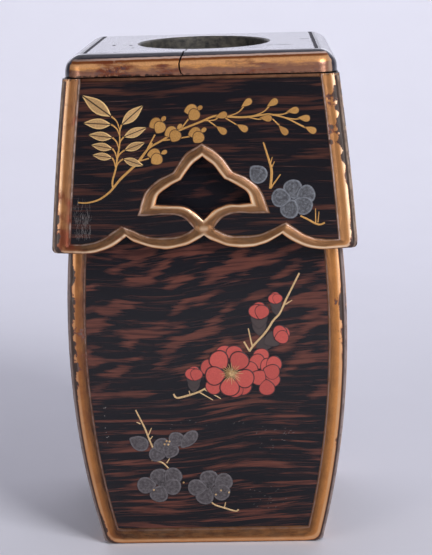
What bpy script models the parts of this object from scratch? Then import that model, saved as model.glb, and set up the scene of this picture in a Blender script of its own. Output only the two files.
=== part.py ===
"""Square lacquer box with bowed sides and a loose flared cover.

The box is a hollow case, open at the top. The cover is a skirt of four flared sides, each with a
scalloped foot and a trefoil opening, under a flat board with rounded edges and an oval hole. The
cover lifts off. Every side has a raised moulding: a frame along its edges, and on the skirt a band
round the trefoil that crosses the foot's band in the middle.

Sizes are in millimetres; build_object turns them to metres. The origin is the middle of the
box's underside, +Z is up and the shown side faces -Y.
"""

from math import copysign, cos, exp, hypot, pi, sin, sqrt

import bmesh
import bpy
from mathutils import Vector
from mathutils.geometry import delaunay_2d_cdt

MM = 0.001
GAP = 0.3                     # between two pieces that rest on each other

# Overall
HEIGHT = 120.0                # top of the cover's board
BOARD_THICKNESS = 5.1
SKIRT_TOP = HEIGHT - BOARD_THICKNESS - GAP
BODY_TOP = SKIRT_TOP          # the board rests on the case's rim and on the skirt alike

# Case: the sides bow out to the belly and back in, the same above as below it
BASE_HALF = 26.8
BELLY_HALF = 33.0
BELLY_HEIGHT = 54.0
BODY_WALL = 2.8
FLOOR = 3.2

# Cover
SKIRT_TOP_HALF = 31.8
SKIRT_FOOT_HALF = 35.6
SKIRT_FOOT = 74.5             # lowest edge of the skirt, at its corners
SKIRT_BULGE = 0.25            # how far the flared sides curve out of a straight line
SKIRT_WALL = 2.2
BOARD_HALF = 31.4
BOARD_ROUND = 4.2             # radius of the board's rounded upper edge
BOARD_CORNER = 4.6            # radius of the board's corners, seen from above
HOLE_HALF_X = 15.7
HOLE_HALF_Y = 20.5
HOLE_ROUND = 0.6

# Mouldings
FRAME = 4.5                   # width of the frame along a side's edges
ARRIS = 1.2                   # radius of the upright corners
CORNER_ROUND = 2.3            # radius of a side's lower corners
PANEL_DEPTH = 0.6             # how far a panel lies below its frame
BODY_RAIL = 3.7               # height of the frame's lower rail on the case
TOP_RAIL = 0.8                # height of the fillet under the cover's board
FILLET_RISE = 0.25
FILLET_DEPTH = 0.2
# across a moulding: share of its width from the free edge, depth below the frame's face
PROFILE = ((0.0, 0.15), (0.18, 0.05), (0.35, 0.0), (0.6, 0.0), (0.85, 0.15), (1.0, PANEL_DEPTH))

# Scalloped foot: arcs of one radius, two in the middle and one running out to each corner
LOBE_RADIUS = 15.0
LOBE_X = 9.0                  # middle of an inner lobe
LOBE_FOOT = 75.3
CUSP_X = 18.0                 # where an inner lobe meets an outer one
OUTER_LOBE_X = 28.0

# Stations of the foot's band, right half, middle to corner: x of its free edge, then the point
# of its upper edge (x, z), in runs that meet at a corner of the band
CROSS_Z = 79.9                # where the foot's band and the trefoil's band cross,
CROSS_HALF = 2.3              # and half the length along which they touch
CROSS_SWELL_X = 1.3           # reach of the swelling there, sideways
CROSS_SWELL_Z = 1.6           # and upwards
FOOT_INNER_Z = 76.8           # upper edge of the foot's band near the corners
FOOT_RUNS = (
    ((0.0, 1.6), ((0.0, CROSS_Z), (CROSS_HALF, CROSS_Z))),
    ((1.6, 5.2, 9.0, 13.2, CUSP_X),
     ((CROSS_HALF, CROSS_Z), (5.6, 78.3), (9.2, 78.0), (13.4, 78.5), (19.1, 81.0))),
    ((CUSP_X, 21.3, 24.6, OUTER_LOBE_X),
     ((19.1, 81.0), (22.0, 78.9), (25.0, 77.4), (28.2, FOOT_INNER_Z))),
)

# Stations of the trefoil, right half, apex to middle of its base: the opening's edge and the
# outer edge of its band
TREFOIL_RUNS = (
    (((0.0, 96.5), (2.6, 94.3), (4.9, 91.2)),
     ((0.0, 99.4), (3.9, 97.0), (6.9, 92.9))),
    (((4.9, 91.2), (8.0, 89.6), (10.3, 87.8), (11.0, 85.6)),
     ((6.9, 92.9), (10.4, 91.2), (13.4, 88.4), (15.4, 83.0))),
    (((11.0, 85.6), (8.4, 85.3), (5.8, 85.25), (3.6, 84.7), (1.9, 83.6)),
     ((15.4, 83.0), (11.6, 83.0), (8.0, 83.2), (4.6, 82.3), (CROSS_HALF, CROSS_Z))),
    (((1.9, 83.6), (0.0, 81.8)),
     ((CROSS_HALF, CROSS_Z), (0.0, CROSS_Z))),
)

# Closeness at which points count as one
SAME_POINT = 1e-3
SAME_CORNER = 1e-4
JOIN_DISTANCE = 0.002
ON_LINE = 0.01

# Materials of a piece, by their place in its list
LACQUER, GOLD = 0, 1

# Steps of the faceted surfaces
BODY_ROWS = 14
SKIRT_ROWS = 6
RUN_STEPS = 2                 # between two stations of a curved run
CORNER_STEPS = 4
EDGE_STEPS = 6
BOARD_STEPS = 8


# ---------------------------------------------------------------- outlines

def body_half(z):
    """Half the case's width at height z."""
    return BELLY_HALF - (BELLY_HALF - BASE_HALF) * ((z - BELLY_HEIGHT) / BELLY_HEIGHT) ** 2


def skirt_half(z):
    """Half the cover's width at height z."""
    share = (z - SKIRT_FOOT) / (SKIRT_TOP - SKIRT_FOOT)
    straight = SKIRT_FOOT_HALF + (SKIRT_TOP_HALF - SKIRT_FOOT_HALF) * share
    return straight + SKIRT_BULGE * sin(pi * share)


def arc_rise(offset, radius):
    """Height of a circle above its lowest point, offset to one side."""
    return radius - sqrt(max(radius ** 2 - offset ** 2, 0.0))


def foot_z(x):
    """Height of the skirt's scalloped foot at x, without its rounded corners."""
    x = abs(x)
    if x <= CUSP_X:
        return LOBE_FOOT + arc_rise(x - LOBE_X, LOBE_RADIUS)
    return SKIRT_FOOT + arc_rise(min(x - OUTER_LOBE_X, 0.0), LOBE_RADIUS)


def smooth_run(points, steps=RUN_STEPS):
    """Curve through the points, with a number of steps between each two."""
    points = [Vector(point) if hasattr(point, "__len__") else Vector((point, 0.0))
              for point in points]
    if len(points) == 2:
        return [points[0].lerp(points[1], step / steps) for step in range(steps + 1)]
    ends = [points[0] * 2 - points[1]] + points + [points[-1] * 2 - points[-2]]
    curve = []
    for first, start, end, last in zip(ends, ends[1:], ends[2:], ends[3:]):
        for step in range(steps):
            t = step / steps
            curve.append(0.5 * (2 * start + (end - first) * t
                                + (2 * first - 5 * start + 4 * end - last) * t ** 2
                                + (3 * start - first - 3 * end + last) * t ** 3))
    return curve + [points[-1]]


def mirrored(stations):
    """Stations given from the middle outwards, made whole from left to right."""
    left = [tuple(Vector((-point.x, point.y)) for point in station)
            for station in reversed(stations[1:])]
    return left + stations


def corner_stations(half_at, foot, inner_corner):
    """The rounded lower corner of a side: its edge from below up to the upright corner."""
    stations = []
    for step in range(CORNER_STEPS + 1):
        angle = pi / 2 * step / CORNER_STEPS
        z = foot + CORNER_ROUND * (1 - cos(angle))
        x = half_at(z) - CORNER_ROUND * (1 - sin(angle))
        stations.append((Vector((x, z)), inner_corner))
    return stations


def foot_band():
    """The band along the skirt's scalloped foot: pairs of its lower and upper edge."""
    stations = []
    for free_edge, upper_edge in FOOT_RUNS:
        lower = [Vector((point.x, foot_z(point.x))) for point in smooth_run(free_edge)]
        stations += list(zip(lower, smooth_run(upper_edge)))[1 if stations else 0:]
    inner_corner = Vector((skirt_half(FOOT_INNER_Z) - FRAME, FOOT_INNER_Z))
    stations += corner_stations(skirt_half, SKIRT_FOOT, inner_corner)
    return mirrored(stations)


def trefoil_band():
    """The closed band round the opening: pairs of its inner and outer edge, from the apex."""
    right = []
    for opening, outer in TREFOIL_RUNS:
        right += list(zip(smooth_run(opening), smooth_run(outer)))[1 if right else 0:]
    left = [tuple(Vector((-point.x, point.y)) for point in station)
            for station in reversed(right[1:-1])]
    return right + left


def body_band():
    """The lower rail of the case's frame: pairs of its lower and upper edge."""
    reach = body_half(0.0) - CORNER_ROUND
    inner_corner = Vector((body_half(BODY_RAIL) - FRAME, BODY_RAIL))
    middle = (Vector((0.0, 0.0)), Vector((0.0, BODY_RAIL)))
    half_way = (Vector((reach / 2, 0.0)), Vector((inner_corner.x / 2, BODY_RAIL)))
    return mirrored([middle, half_way] + corner_stations(body_half, 0.0, inner_corner))


def crossing_depth(point):
    """Depth of the smooth swelling where the two bands of the skirt cross."""
    x, z = point
    near = exp(-(x / CROSS_SWELL_X) ** 2 - ((z - CROSS_Z) / CROSS_SWELL_Z) ** 2)
    return PANEL_DEPTH * (1 - near)


def distinct(points):
    """The points without those that repeat the one before."""
    kept = []
    for point in points:
        if not kept or (point - kept[-1]).length > SAME_POINT:
            kept.append(point)
    return kept


# ---------------------------------------------------------------- building surfaces

class Surface:
    """Faces of one solid, given by their corners in millimetres; touching corners are joined."""

    def __init__(self):
        self.mesh = bmesh.new()

    def face(self, corners, material=LACQUER):
        """Add one face; corners that coincide are dropped."""
        kept = []
        for corner in corners:
            if all((corner - other).length > SAME_CORNER for other in kept):
                kept.append(corner)
        if len(kept) > 2:
            verts = [self.mesh.verts.new(corner * MM) for corner in kept]
            self.mesh.faces.new(verts).material_index = material

    def strip(self, first, second, material=LACQUER, closed=False):
        """Quads between two rows of corners."""
        count = len(first)
        for i in range(count if closed else count - 1):
            j = (i + 1) % count
            self.face((first[i], first[j], second[j], second[i]), material)

    def make_object(self, name, materials):
        """Join the faces into one closed body and make it an object."""
        bmesh.ops.remove_doubles(self.mesh, verts=self.mesh.verts, dist=JOIN_DISTANCE * MM)
        bmesh.ops.recalc_face_normals(self.mesh, faces=self.mesh.faces)
        bmesh.ops.triangulate(self.mesh, faces=self.mesh.faces)
        mesh = bpy.data.meshes.new(name)
        self.mesh.to_mesh(mesh)
        self.mesh.free()
        for material in materials:
            mesh.materials.append(material)
        mesh.shade_smooth()
        mesh.set_sharp_from_angle(angle=pi / 6)
        piece = bpy.data.objects.new(name, mesh)
        bpy.context.scene.collection.objects.link(piece)
        return piece


def on_side(side, half, corner, x, z, depth=0.0):
    """Point of side 0 to 3 of a square with rounded corners, depth below its face."""
    flat = half - corner
    turn = max(abs(x) - flat, 0.0) / corner * pi / 4 if corner else 0.0
    if turn:
        reach = corner - depth
        point = Vector((copysign(flat + reach * sin(turn), x), -flat - reach * cos(turn), z))
    else:
        point = Vector((x, -half + depth, z))
    for _ in range(side):
        point = Vector((-point.y, point.x, point.z))
    return point


class Side:
    """One side of a square form; points on it are (x along the side, height z)."""

    def __init__(self, number, half_at, wall):
        self.number = number
        self.half_at = half_at
        self.wall = wall

    def outer(self, point, depth):
        """A point of the outer face, depth below the mouldings' face."""
        depth = min(depth, crossing_depth(point))
        return on_side(self.number, self.half_at(point.y), ARRIS, point.x, point.y, depth)

    def inner(self, point):
        """The point straight behind it on the inner face; corners meet in a mitre."""
        half = self.half_at(point.y)
        x = point.x - copysign(self.wall * (abs(point.x) / half) ** 6, point.x)
        return on_side(self.number, half - self.wall, 0.0, x, point.y)


def moulding(surface, side, stations, closed=False):
    """Sweep a moulding along paired stations; returns the points of its free edge."""
    rows = []
    for share, depth in PROFILE:
        rows.append([side.outer(edge.lerp(inner, share), depth) for edge, inner in stations])
    for first, second in zip(rows, rows[1:]):
        surface.strip(first, second, GOLD, closed)
    return rows[0]


def is_inside(point, outline):
    """Whether a point lies inside a closed outline."""
    inside = False
    for start, end in zip(outline, [*outline[1:], *outline[:1]]):
        if (start.y > point.y) != (end.y > point.y):
            share = (point.y - start.y) / (end.y - start.y)
            if point.x < start.x + share * (end.x - start.x):
                inside = not inside
    return inside


def fill(surface, place, outline, opening=()):
    """Triangles inside an outline and outside an opening."""
    points = list(outline) + list(opening)
    edges = [(i, (i + 1) % len(outline)) for i in range(len(outline))]
    start = len(outline)
    edges += [(start + i, start + (i + 1) % len(opening)) for i in range(len(opening))]
    verts, _, faces, *_ = delaunay_2d_cdt(points, edges, [], 0, 1e-5)
    for face in faces:
        corners = [verts[i] for i in face]
        middle = sum(corners, Vector((0.0, 0.0))) / len(corners)
        if is_inside(middle, outline) and not is_inside(middle, opening):
            surface.face([place(corner) for corner in corners])


# ---------------------------------------------------------------- pieces

def make_material(name, colour, roughness, metallic):
    material = bpy.data.materials.new(name)
    material.use_nodes = True
    shader = material.node_tree.nodes["Principled BSDF"]
    shader.inputs["Base Color"].default_value = (*colour, 1.0)
    shader.inputs["Roughness"].default_value = roughness
    shader.inputs["Metallic"].default_value = metallic
    return material


def posts(surface, side, foot, inner_foot, heights):
    """The frame's two uprights, from a side's rounded corners to its top."""
    for sign in (-1, 1):
        stations = [(Vector((sign * foot.x, foot.y)), Vector((sign * inner_foot.x, inner_foot.y)))]
        for z in heights[1:]:
            half = side.half_at(z)
            stations.append((Vector((sign * half, z)), Vector((sign * (half - FRAME), z))))
        moulding(surface, side, stations)


def close_top(surface, side, z, fillet=()):
    """The top face of a side's wall; returns the inner edge's points."""
    half = side.half_at(z)
    rim = [(Vector((share * FRAME - half, z)), depth) for share, depth in PROFILE]
    rim += list(fillet)
    rim += [(Vector((-point.x, z)), depth) for point, depth in reversed(rim[:len(PROFILE)])]
    points = [point for point, _ in rim]
    surface.strip([side.outer(point, depth) for point, depth in rim],
                  [side.inner(point) for point in points])
    return points


def box_body(materials):
    """The hollow case: four framed, bowed sides, a floor and an open top."""
    surface = Surface()
    step = (BODY_TOP - BODY_RAIL) / BODY_ROWS
    heights = [BODY_RAIL + step * row for row in range(BODY_ROWS + 1)]
    stations = body_band()
    foot, inner_foot = stations[-1]
    rail_top = distinct(station[1] for station in stations)
    feet, floor = [], []
    for number in range(4):
        side = Side(number, body_half, BODY_WALL)
        feet.append(moulding(surface, side, stations))
        posts(surface, side, foot, inner_foot, heights)
        panel = [[Vector((sign * (body_half(z) - FRAME), z)) for sign in (-1, 1)]
                 for z in heights[1:]]
        surface.face([side.outer(point, PANEL_DEPTH) for point in rail_top + panel[0][::-1]])
        for low, high in zip(panel, panel[1:]):
            surface.strip([side.outer(point, PANEL_DEPTH) for point in low],
                          [side.outer(point, PANEL_DEPTH) for point in high])
        rim = close_top(surface, side, BODY_TOP)
        wall = [[side.inner(Vector((sign * body_half(z), z))) for sign in (-1, 1)]
                for z in [FLOOR] + heights[1:-1]]
        for low, high in zip(wall, wall[1:]):
            surface.strip(low, high)
        surface.face(wall[-1] + [side.inner(point) for point in reversed(rim)])
        floor.append(wall[0][0])
    surface.face(floor)

    base = []
    for foot_edge, following in zip(feet, feet[1:] + feet[:1]):
        surface.strip(foot_edge[-CORNER_STEPS - 1:], following[CORNER_STEPS::-1])
        base += foot_edge[CORNER_STEPS:-CORNER_STEPS]
    surface.face(base)
    return surface.make_object("box_body", materials)


def skirt_panel(foot, trefoil, heights, fillet):
    """Outline of the sunk panel between the skirt's mouldings."""
    upper_foot = distinct(station[1] for station in foot)
    around = [station[1] for station in trefoil]
    touch = next(i for i, point in enumerate(around) if abs(point.y - CROSS_Z) < ON_LINE)
    outline = [point for point in upper_foot if point.x < ON_LINE - CROSS_HALF]
    outline += around[len(around) - touch + 1:] + around[:touch]
    outline += [point for point in upper_foot if point.x > CROSS_HALF - ON_LINE]
    edge = [Vector((skirt_half(z) - FRAME, z)) for z in heights[1:]]
    outline += edge + fillet[::-1]
    outline += [Vector((-point.x, point.y)) for point in reversed(edge)]
    return outline


def cover_skirt(materials):
    """The cover's four flared sides, with their scalloped feet and trefoil openings."""
    surface = Surface()
    rail_low = SKIRT_TOP - TOP_RAIL
    step = (rail_low - FOOT_INNER_Z) / SKIRT_ROWS
    heights = [FOOT_INNER_Z + step * row for row in range(SKIRT_ROWS + 1)]
    fillet_levels = ((rail_low, PANEL_DEPTH), (rail_low + FILLET_RISE, FILLET_DEPTH),
                     (SKIRT_TOP, FILLET_DEPTH))
    reach = skirt_half(SKIRT_TOP) - FRAME - FILLET_RISE
    foot = foot_band()
    trefoil = trefoil_band()
    fillet_low = [Vector((sign * reach, rail_low)) for sign in (-1, 1)]
    panel = skirt_panel(foot, trefoil, heights, fillet_low)
    all_heights = heights + [rail_low + FILLET_RISE, SKIRT_TOP]
    for number in range(4):
        side = Side(number, skirt_half, SKIRT_WALL)
        foot_edge = moulding(surface, side, foot)
        opening_edge = moulding(surface, side, trefoil, closed=True)
        posts(surface, side, *foot[-1], all_heights)
        fill(surface, lambda point: side.outer(point, PANEL_DEPTH), panel)

        # fillet under the board, let into the uprights at its ends
        rows = []
        for z, depth in fillet_levels:
            end = Vector((skirt_half(z) - FRAME, z))
            rows.append([side.outer(Vector((-end.x, z)), PANEL_DEPTH),
                         side.outer(Vector((-reach, z)), depth),
                         side.outer(Vector((reach, z)), depth),
                         side.outer(end, PANEL_DEPTH)])
        surface.strip(rows[0], rows[1], GOLD)
        surface.strip(rows[1], rows[2], GOLD)

        # edges of the wall and its plain inner face
        lower = [station[0] for station in foot]
        opening = [station[0] for station in trefoil]
        surface.strip(foot_edge, [side.inner(point) for point in lower])
        surface.strip(opening_edge, [side.inner(point) for point in opening], closed=True)
        top_fillet = [(Vector((sign * reach, SKIRT_TOP)), FILLET_DEPTH) for sign in (-1, 1)]
        rim = close_top(surface, side, SKIRT_TOP, top_fillet)
        corner = [Vector((skirt_half(z), z)) for z in all_heights[1:-1]]
        outline = lower + corner + rim[::-1]
        outline += [Vector((-point.x, point.y)) for point in reversed(corner)]
        fill(surface, side.inner, outline, opening)
    return surface.make_object("cover_skirt", materials)


def board_ring(half, corner, z):
    """Points round a square with rounded corners, the same number at any size."""
    flat = half - corner
    xs = [-half + corner * step / CORNER_STEPS for step in range(CORNER_STEPS)]
    xs += [-flat + 2 * flat * step / BOARD_STEPS for step in range(BOARD_STEPS + 1)]
    xs += [half - corner * step / CORNER_STEPS for step in range(CORNER_STEPS - 1, 0, -1)]
    return [on_side(side, half, corner, x, z) for side in range(4) for x in xs]


def hole_ring(around, grown, z):
    """Points of the oval hole, each in the direction of a point of the board's edge."""
    ring = []
    for point in around:
        reach = hypot(point.x, point.y)
        c, s = point.x / reach, point.y / reach
        a, b = HOLE_HALF_X + grown, HOLE_HALF_Y + grown
        radius = a * b / hypot(b * c, a * s)
        ring.append(Vector((radius * c, radius * s, z)))
    return ring


def cover_top_board(materials):
    """The cover's board, with its rounded upper edge and oval hole."""
    surface = Surface()
    low = HEIGHT - BOARD_THICKNESS
    around = board_ring(BOARD_HALF, BOARD_CORNER, low)
    hole = [hole_ring(around, 0.0, low)]
    for step in range(4):
        angle = pi / 2 * step / 3
        hole.append(hole_ring(around, HOLE_ROUND * (1 - cos(angle)),
                              HEIGHT - HOLE_ROUND * (1 - sin(angle))))
    edge = []
    for step in range(EDGE_STEPS + 1):
        angle = pi / 2 * step / EDGE_STEPS
        inset = BOARD_ROUND * (1 - sin(angle))
        edge.append(board_ring(BOARD_HALF - inset, BOARD_CORNER - inset,
                               HEIGHT - BOARD_ROUND * (1 - cos(angle))))
    edge.append(around)
    for first, second in zip(hole, hole[1:]):
        surface.strip(first, second, closed=True)
    surface.strip(hole[-1], edge[0], closed=True)
    surface.strip(edge[0], edge[1], closed=True)
    for first, second in zip(edge[1:], edge[2:]):
        surface.strip(first, second, GOLD, closed=True)
    surface.strip(edge[-1], hole[0], closed=True)
    return surface.make_object("cover_top_board", materials)


def main():
    for item in list(bpy.data.objects):
        bpy.data.objects.remove(item)
    lacquer = make_material("black lacquer", (0.013, 0.011, 0.014), 0.3, 0.0)
    gold = make_material("gold lacquer", (0.43, 0.2, 0.07), 0.35, 0.6)
    for build in (box_body, cover_skirt, cover_top_board):
        build((lacquer, gold))


main()
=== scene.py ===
# %% [markdown]
# # A small lacquered box with a loose cover
# The real thing is joined from thin boards, coated with black lacquer and painted. Its four sides
# bow out, the cover's four sides flare, and every side carries the same raised gold moulding. One
# side is therefore drawn once, flat, with real sizes in millimetres, and a node tree bends it to
# its curve and stands it up four times. The frame gives the heights, so the finished skins fit
# the solids that they replace.

# %% Load the frame and measure the solids
from functools import partial
from math import acos, atan2, copysign, cos, exp, hypot, pi, radians, sin, sqrt

import bmesh
import bpy
from mathutils import Matrix, Vector, noise
from mathutils.geometry import delaunay_2d_cdt


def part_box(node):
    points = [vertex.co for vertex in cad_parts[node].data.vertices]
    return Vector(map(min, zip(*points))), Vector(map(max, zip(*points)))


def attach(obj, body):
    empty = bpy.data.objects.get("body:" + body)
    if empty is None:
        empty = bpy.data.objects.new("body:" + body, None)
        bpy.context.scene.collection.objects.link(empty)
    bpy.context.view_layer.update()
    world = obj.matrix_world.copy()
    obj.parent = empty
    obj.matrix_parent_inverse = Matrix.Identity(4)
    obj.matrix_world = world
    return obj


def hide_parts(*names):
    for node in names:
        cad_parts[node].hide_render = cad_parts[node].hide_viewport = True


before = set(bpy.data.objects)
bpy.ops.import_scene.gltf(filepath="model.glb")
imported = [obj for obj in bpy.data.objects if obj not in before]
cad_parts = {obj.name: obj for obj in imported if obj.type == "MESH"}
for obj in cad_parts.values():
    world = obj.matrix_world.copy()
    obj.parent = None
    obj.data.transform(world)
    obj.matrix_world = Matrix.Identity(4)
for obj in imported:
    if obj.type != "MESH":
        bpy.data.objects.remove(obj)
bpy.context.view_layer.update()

MM = 0.001
CASE_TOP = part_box("box_body")[1].z / MM
SKIRT_FOOT, SKIRT_TOP = (corner.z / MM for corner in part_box("cover_skirt"))
BOARD_LOW, HEIGHT = (corner.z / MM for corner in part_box("cover_top_board"))
BOARD_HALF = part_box("cover_top_board")[1].x / MM
print(f"{HEIGHT:.1f} mm high; the cover hangs down to {SKIRT_FOOT:.1f} mm")

# %% [markdown]
# ## Nodes and colours
# Every material and every Geometry Nodes tree below is wired with one helper. It sets a node's
# properties and then fills its inputs: a number stays a number, a hex colour is turned to the
# linear light that a shader works in, and a node or a socket is linked. A kind of node that is
# wanted often is a short name for its type, its settings and the inputs that it is given.

# %% One helper for nodes, one for colours


def linear(hex_colour, alpha=1.0):
    """Linear RGBA of an sRGB colour written as six hex digits."""
    parts = [int(hex_colour[i:i + 2], 16) / 255 for i in (0, 2, 4)]
    light = [c / 12.92 if c <= 0.04045 else ((c + 0.055) / 1.055) ** 2.4 for c in parts]
    return (*light, alpha)


def add_node(tree, kind, *inputs, **settings):
    """Add a node, set its properties, and fill its inputs, in order or from a dictionary."""
    kind, fixed, keys = kind if isinstance(kind, tuple) else (kind, {}, range(len(inputs)))
    made = tree.nodes.new(kind)
    for name, value in {**fixed, **settings}.items():
        setattr(made, name, value)
    given = {}
    for key, value in zip(keys, inputs):
        given.update(value if isinstance(value, dict) else {key: value})
    for key, value in given.items():
        socket = made.inputs[key]
        if isinstance(value, bpy.types.Node):
            value = next(output for output in value.outputs if output.enabled)
        if isinstance(value, bpy.types.NodeSocket):
            tree.links.new(value, socket)
        elif isinstance(value, str) and socket.type == "RGBA":
            socket.default_value = linear(value)
        else:
            socket.default_value = value
    return made


MATH, VECTOR = "ShaderNodeMath", "ShaderNodeVectorMath"
TIMES, PLUS, MINUS, TIMES_PLUS, HIGHER, LOWER = (
    (MATH, {"operation": operation}, range(3)) for operation in
    ("MULTIPLY", "ADD", "SUBTRACT", "MULTIPLY_ADD", "MAXIMUM", "MINIMUM"))
BLEND = ("ShaderNodeMix", {"data_type": "RGBA"}, (0, 6, 7))  # between two colours
BETWEEN = ("ShaderNodeMix", {"data_type": "FLOAT"}, (0, 2, 3))  # between two numbers
RANGE = "ShaderNodeMapRange"
NOISE = ("ShaderNodeTexNoise", {}, ("Vector", "Scale", "Detail", "Roughness"))
BUMP = ("ShaderNodeBump", {}, ("Strength", "Distance", "Height"))
MAPPING, ATTRIBUTE = "ShaderNodeMapping", "ShaderNodeAttribute"
SPLIT, JOIN = "ShaderNodeSeparateXYZ", "ShaderNodeCombineXYZ"
print("gold brown in linear light:", [round(c, 3) for c in linear("8b5e3e")[:3]])

# %% [markdown]
# A finish begins as a shader with its plain values set on its own sockets. Patterns are added
# after that. They read the piece's own coordinates in millimetres, so a size in a comment is a
# size on the box, or an attribute that the piece carries, such as how worn each point is.

# %% Start of a finish


def new_finish(name, colour, roughness, metallic=0.0, **sockets):
    """A material with its plain values set, what adds nodes to it, and its shader."""
    material = bpy.data.materials.new(name)
    material.use_nodes = True
    tree = material.node_tree
    shader = tree.nodes["Principled BSDF"]
    shader.inputs["Base Color"].default_value = linear(colour)
    shader.inputs["Roughness"].default_value = roughness
    shader.inputs["Metallic"].default_value = metallic
    for socket, value in sockets.items():
        shader.inputs[socket.replace("_", " ")].default_value = value
    return material, partial(add_node, tree), shader


def finish_inputs(shader, **sources):
    """Link patterns to the shader's inputs."""
    for name, source in sources.items():
        output = next(out for out in source.outputs if out.enabled)
        shader.id_data.links.new(output, shader.inputs[name.replace("_", " ")])


def laid_over(add, colour, *coats):
    """A ground colour and the coats laid over it, each by its share."""
    for share, coat in coats:
        colour = add(BLEND, share, colour, coat)
    return colour


def in_millimetres(add, stretch=(1.0, 1.0, 1.0)):
    """Object coordinates in millimetres, stretched as grain is."""
    place = add("ShaderNodeTexCoord").outputs["Object"]
    return add(MAPPING, place, {"Scale": [s / MM for s in stretch]})


print("finishes can start")

# %% [markdown]
# ## Black lacquer that imitates grained wood
# The ground is glossy black lacquer with red-brown figure brushed in by hand, all of it running
# across the side. Low down and on the cover it is streaks. Over the belly it looks woven: broad
# flames that lean to the right as they climb, whose ends are feathered row by row. That is made
# by sliding each thin row sideways by its own amount before a broad noise is read, so the
# flame's edge breaks up into fine level fringes. Fine brushed lines run through all of it.

# %% Places on a side, and the brushed figure
UV_SIZE = 100.0  # mm in one unit of a side's UV map
ROW_HEIGHT = 0.6  # mm, one brushed row
ROW_SLIDE = 4.0  # mm that rows slide against each other
FLAME_WIDTH, FLAME_HEIGHT = 9.0, 5.0
FRINGE_LENGTH, FRINGE_HEIGHT = 9.0, 0.9
LEAN = 1.3  # mm that a flame moves right for each mm it climbs
STREAK_LENGTH, STREAK_HEIGHT = 24.0, 1.5
TILT = -0.045  # the brushed lines rise a little to the right
SIDES_APART = 173.0  # mm of the pattern from one side to the next


def side_place(add):
    """Place on a side in millimetres from its UV map; each side reads another stretch."""
    flat = add("ShaderNodeUVMap", uv_map="flat")
    place = add(MAPPING, flat, {"Scale": (UV_SIZE,) * 3})
    number = add(ATTRIBUTE, attribute_name="side_number").outputs["Fac"]
    offset = add(JOIN, add(TIMES, number, SIDES_APART))
    return add(VECTOR, place, offset, operation="ADD")


def level_noise(add, x, z, length, height, detail, roughness=0.5):
    """Noise whose features have a length across the side and a height, in mm."""
    place = add(MAPPING, add(JOIN, x, z), {"Scale": (1 / length, 1 / height, 1.0)})
    return add(NOISE, place, 1.0, detail, roughness, noise_dimensions="2D")


def brushed_grain(add, place, flames, shift):
    """How much red-brown shows, from 0 to 1, and the fine lines alone."""
    x, z, _ = add(SPLIT, place).outputs
    x = add(PLUS, x, shift)
    swell = level_noise(add, x, z, 40.0, 25.0, 1.0)
    level = add(TIMES_PLUS, x, TILT, add(TIMES_PLUS, swell, 5.0, z))
    # rows slide against each other, so that edges feather
    row = add(TIMES, level, 1 / ROW_HEIGHT)
    slide = add(NOISE, {"W": row, "Scale": 1.0, "Detail": 2.0, "Roughness": 0.7},
                noise_dimensions="1D")
    slid = add(TIMES_PLUS, slide, ROW_SLIDE, x)
    sheared = add(TIMES_PLUS, level, -LEAN, slid)
    flame = level_noise(add, sheared, level, FLAME_WIDTH, FLAME_HEIGHT, 1.0)
    fringe = level_noise(add, slid, level, FRINGE_LENGTH, FRINGE_HEIGHT, 3.0, 0.6)
    flame = add(MINUS, add(TIMES_PLUS, fringe, 0.5, flame), 0.25)
    streak = level_noise(add, slid, level, STREAK_LENGTH, STREAK_HEIGHT, 3.0, 0.6)
    upper = add(RANGE, z, *flames)
    figure = add(BETWEEN, upper, streak, flame)
    start = add(BETWEEN, upper, 0.53, 0.495)
    broad = add(RANGE, figure, start, 0.64)
    lines = level_noise(add, x, level, 26.0, 0.9, 5.0, 0.7)
    solid = add(TIMES, broad, add(RANGE, lines, 0.40, 0.55, 0.45, 1.0))
    fine = add(RANGE, lines, 0.54, 0.70, 0.0, 0.4)
    return add(HIGHER, solid, fine), lines


print(f"rows of {ROW_HEIGHT} mm, flames {FLAME_WIDTH:.0f} mm wide")

# %% The lacquers of the case and the cover


def grained_lacquer(name, ground, figure_colour, pale, flames, top, shift=0.0):
    """Black lacquer with brushed figure up to a height, under a soft gloss."""
    material, add, shader = new_finish(name, ground, 0.26, IOR=1.42)
    place = side_place(add)
    figure, lines = brushed_grain(add, place, flames, shift)
    height = add(SPLIT, place).outputs[1]
    # painted shade: above the top height the figure fades, for the case's wall seen in shadow
    # behind the trefoil
    shown = add(RANGE, height, top - 2.0, top, 1.0, 0.4)
    figure = add(TIMES, figure, shown)
    # the pale lines on the brushed ridges are a painted glint
    ridge = add(TIMES, add(RANGE, lines, 0.68, 0.76, 0.0, 0.45), shown)
    colour = laid_over(add, ground, (figure, figure_colour), (ridge, pale))
    # brushed rows stand up by a hair's breadth
    bump = add(BUMP, 0.25, 0.03 * MM, lines)
    finish_inputs(shader, Base_Color=colour, Normal=bump)
    return material


# the fourth colour is the painted glint on the brushed ridges
case_lacquer = grained_lacquer("brushed lacquer of the case", "0c0b12", "62372c", "7c5c54",
                               (34.0, 44.0), 77.0)
cover_lacquer = grained_lacquer("brushed lacquer of the cover", "131116", "4a2b22", "80655f",
                                (300.0, 301.0), 200.0, 60.0)
print("lacquers:", case_lacquer.name, "and", cover_lacquer.name)

# %% [markdown]
# ## Gold lacquer on the mouldings
# Gold powder is sprinkled on wet lacquer and polished, so it is neither metal nor paint: a warm,
# slightly cloudy satin with a fine grain, brushed along the moulding. The crest carries a painted
# highlight, and from there the gold is painted darker and browner towards the panel, partly dirt
# and partly painted shade, and ends in a thin bead with a painted pale highlight. The arris beside
# it is bare: a dark line of painted shade in the groove, then grey that is partly worn lacquer and
# partly a painted highlight. Where fingers wear the gold thin, the red-brown undercoat shows first
# and then the black lacquer, in small flakes that start from the arris. Each point says how far
# across the gold it lies and how worn it is, and noise turns those two numbers into brushing,
# painted highlight and shade, stains and flakes. The cover's gold is stained more than flaked.

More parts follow.
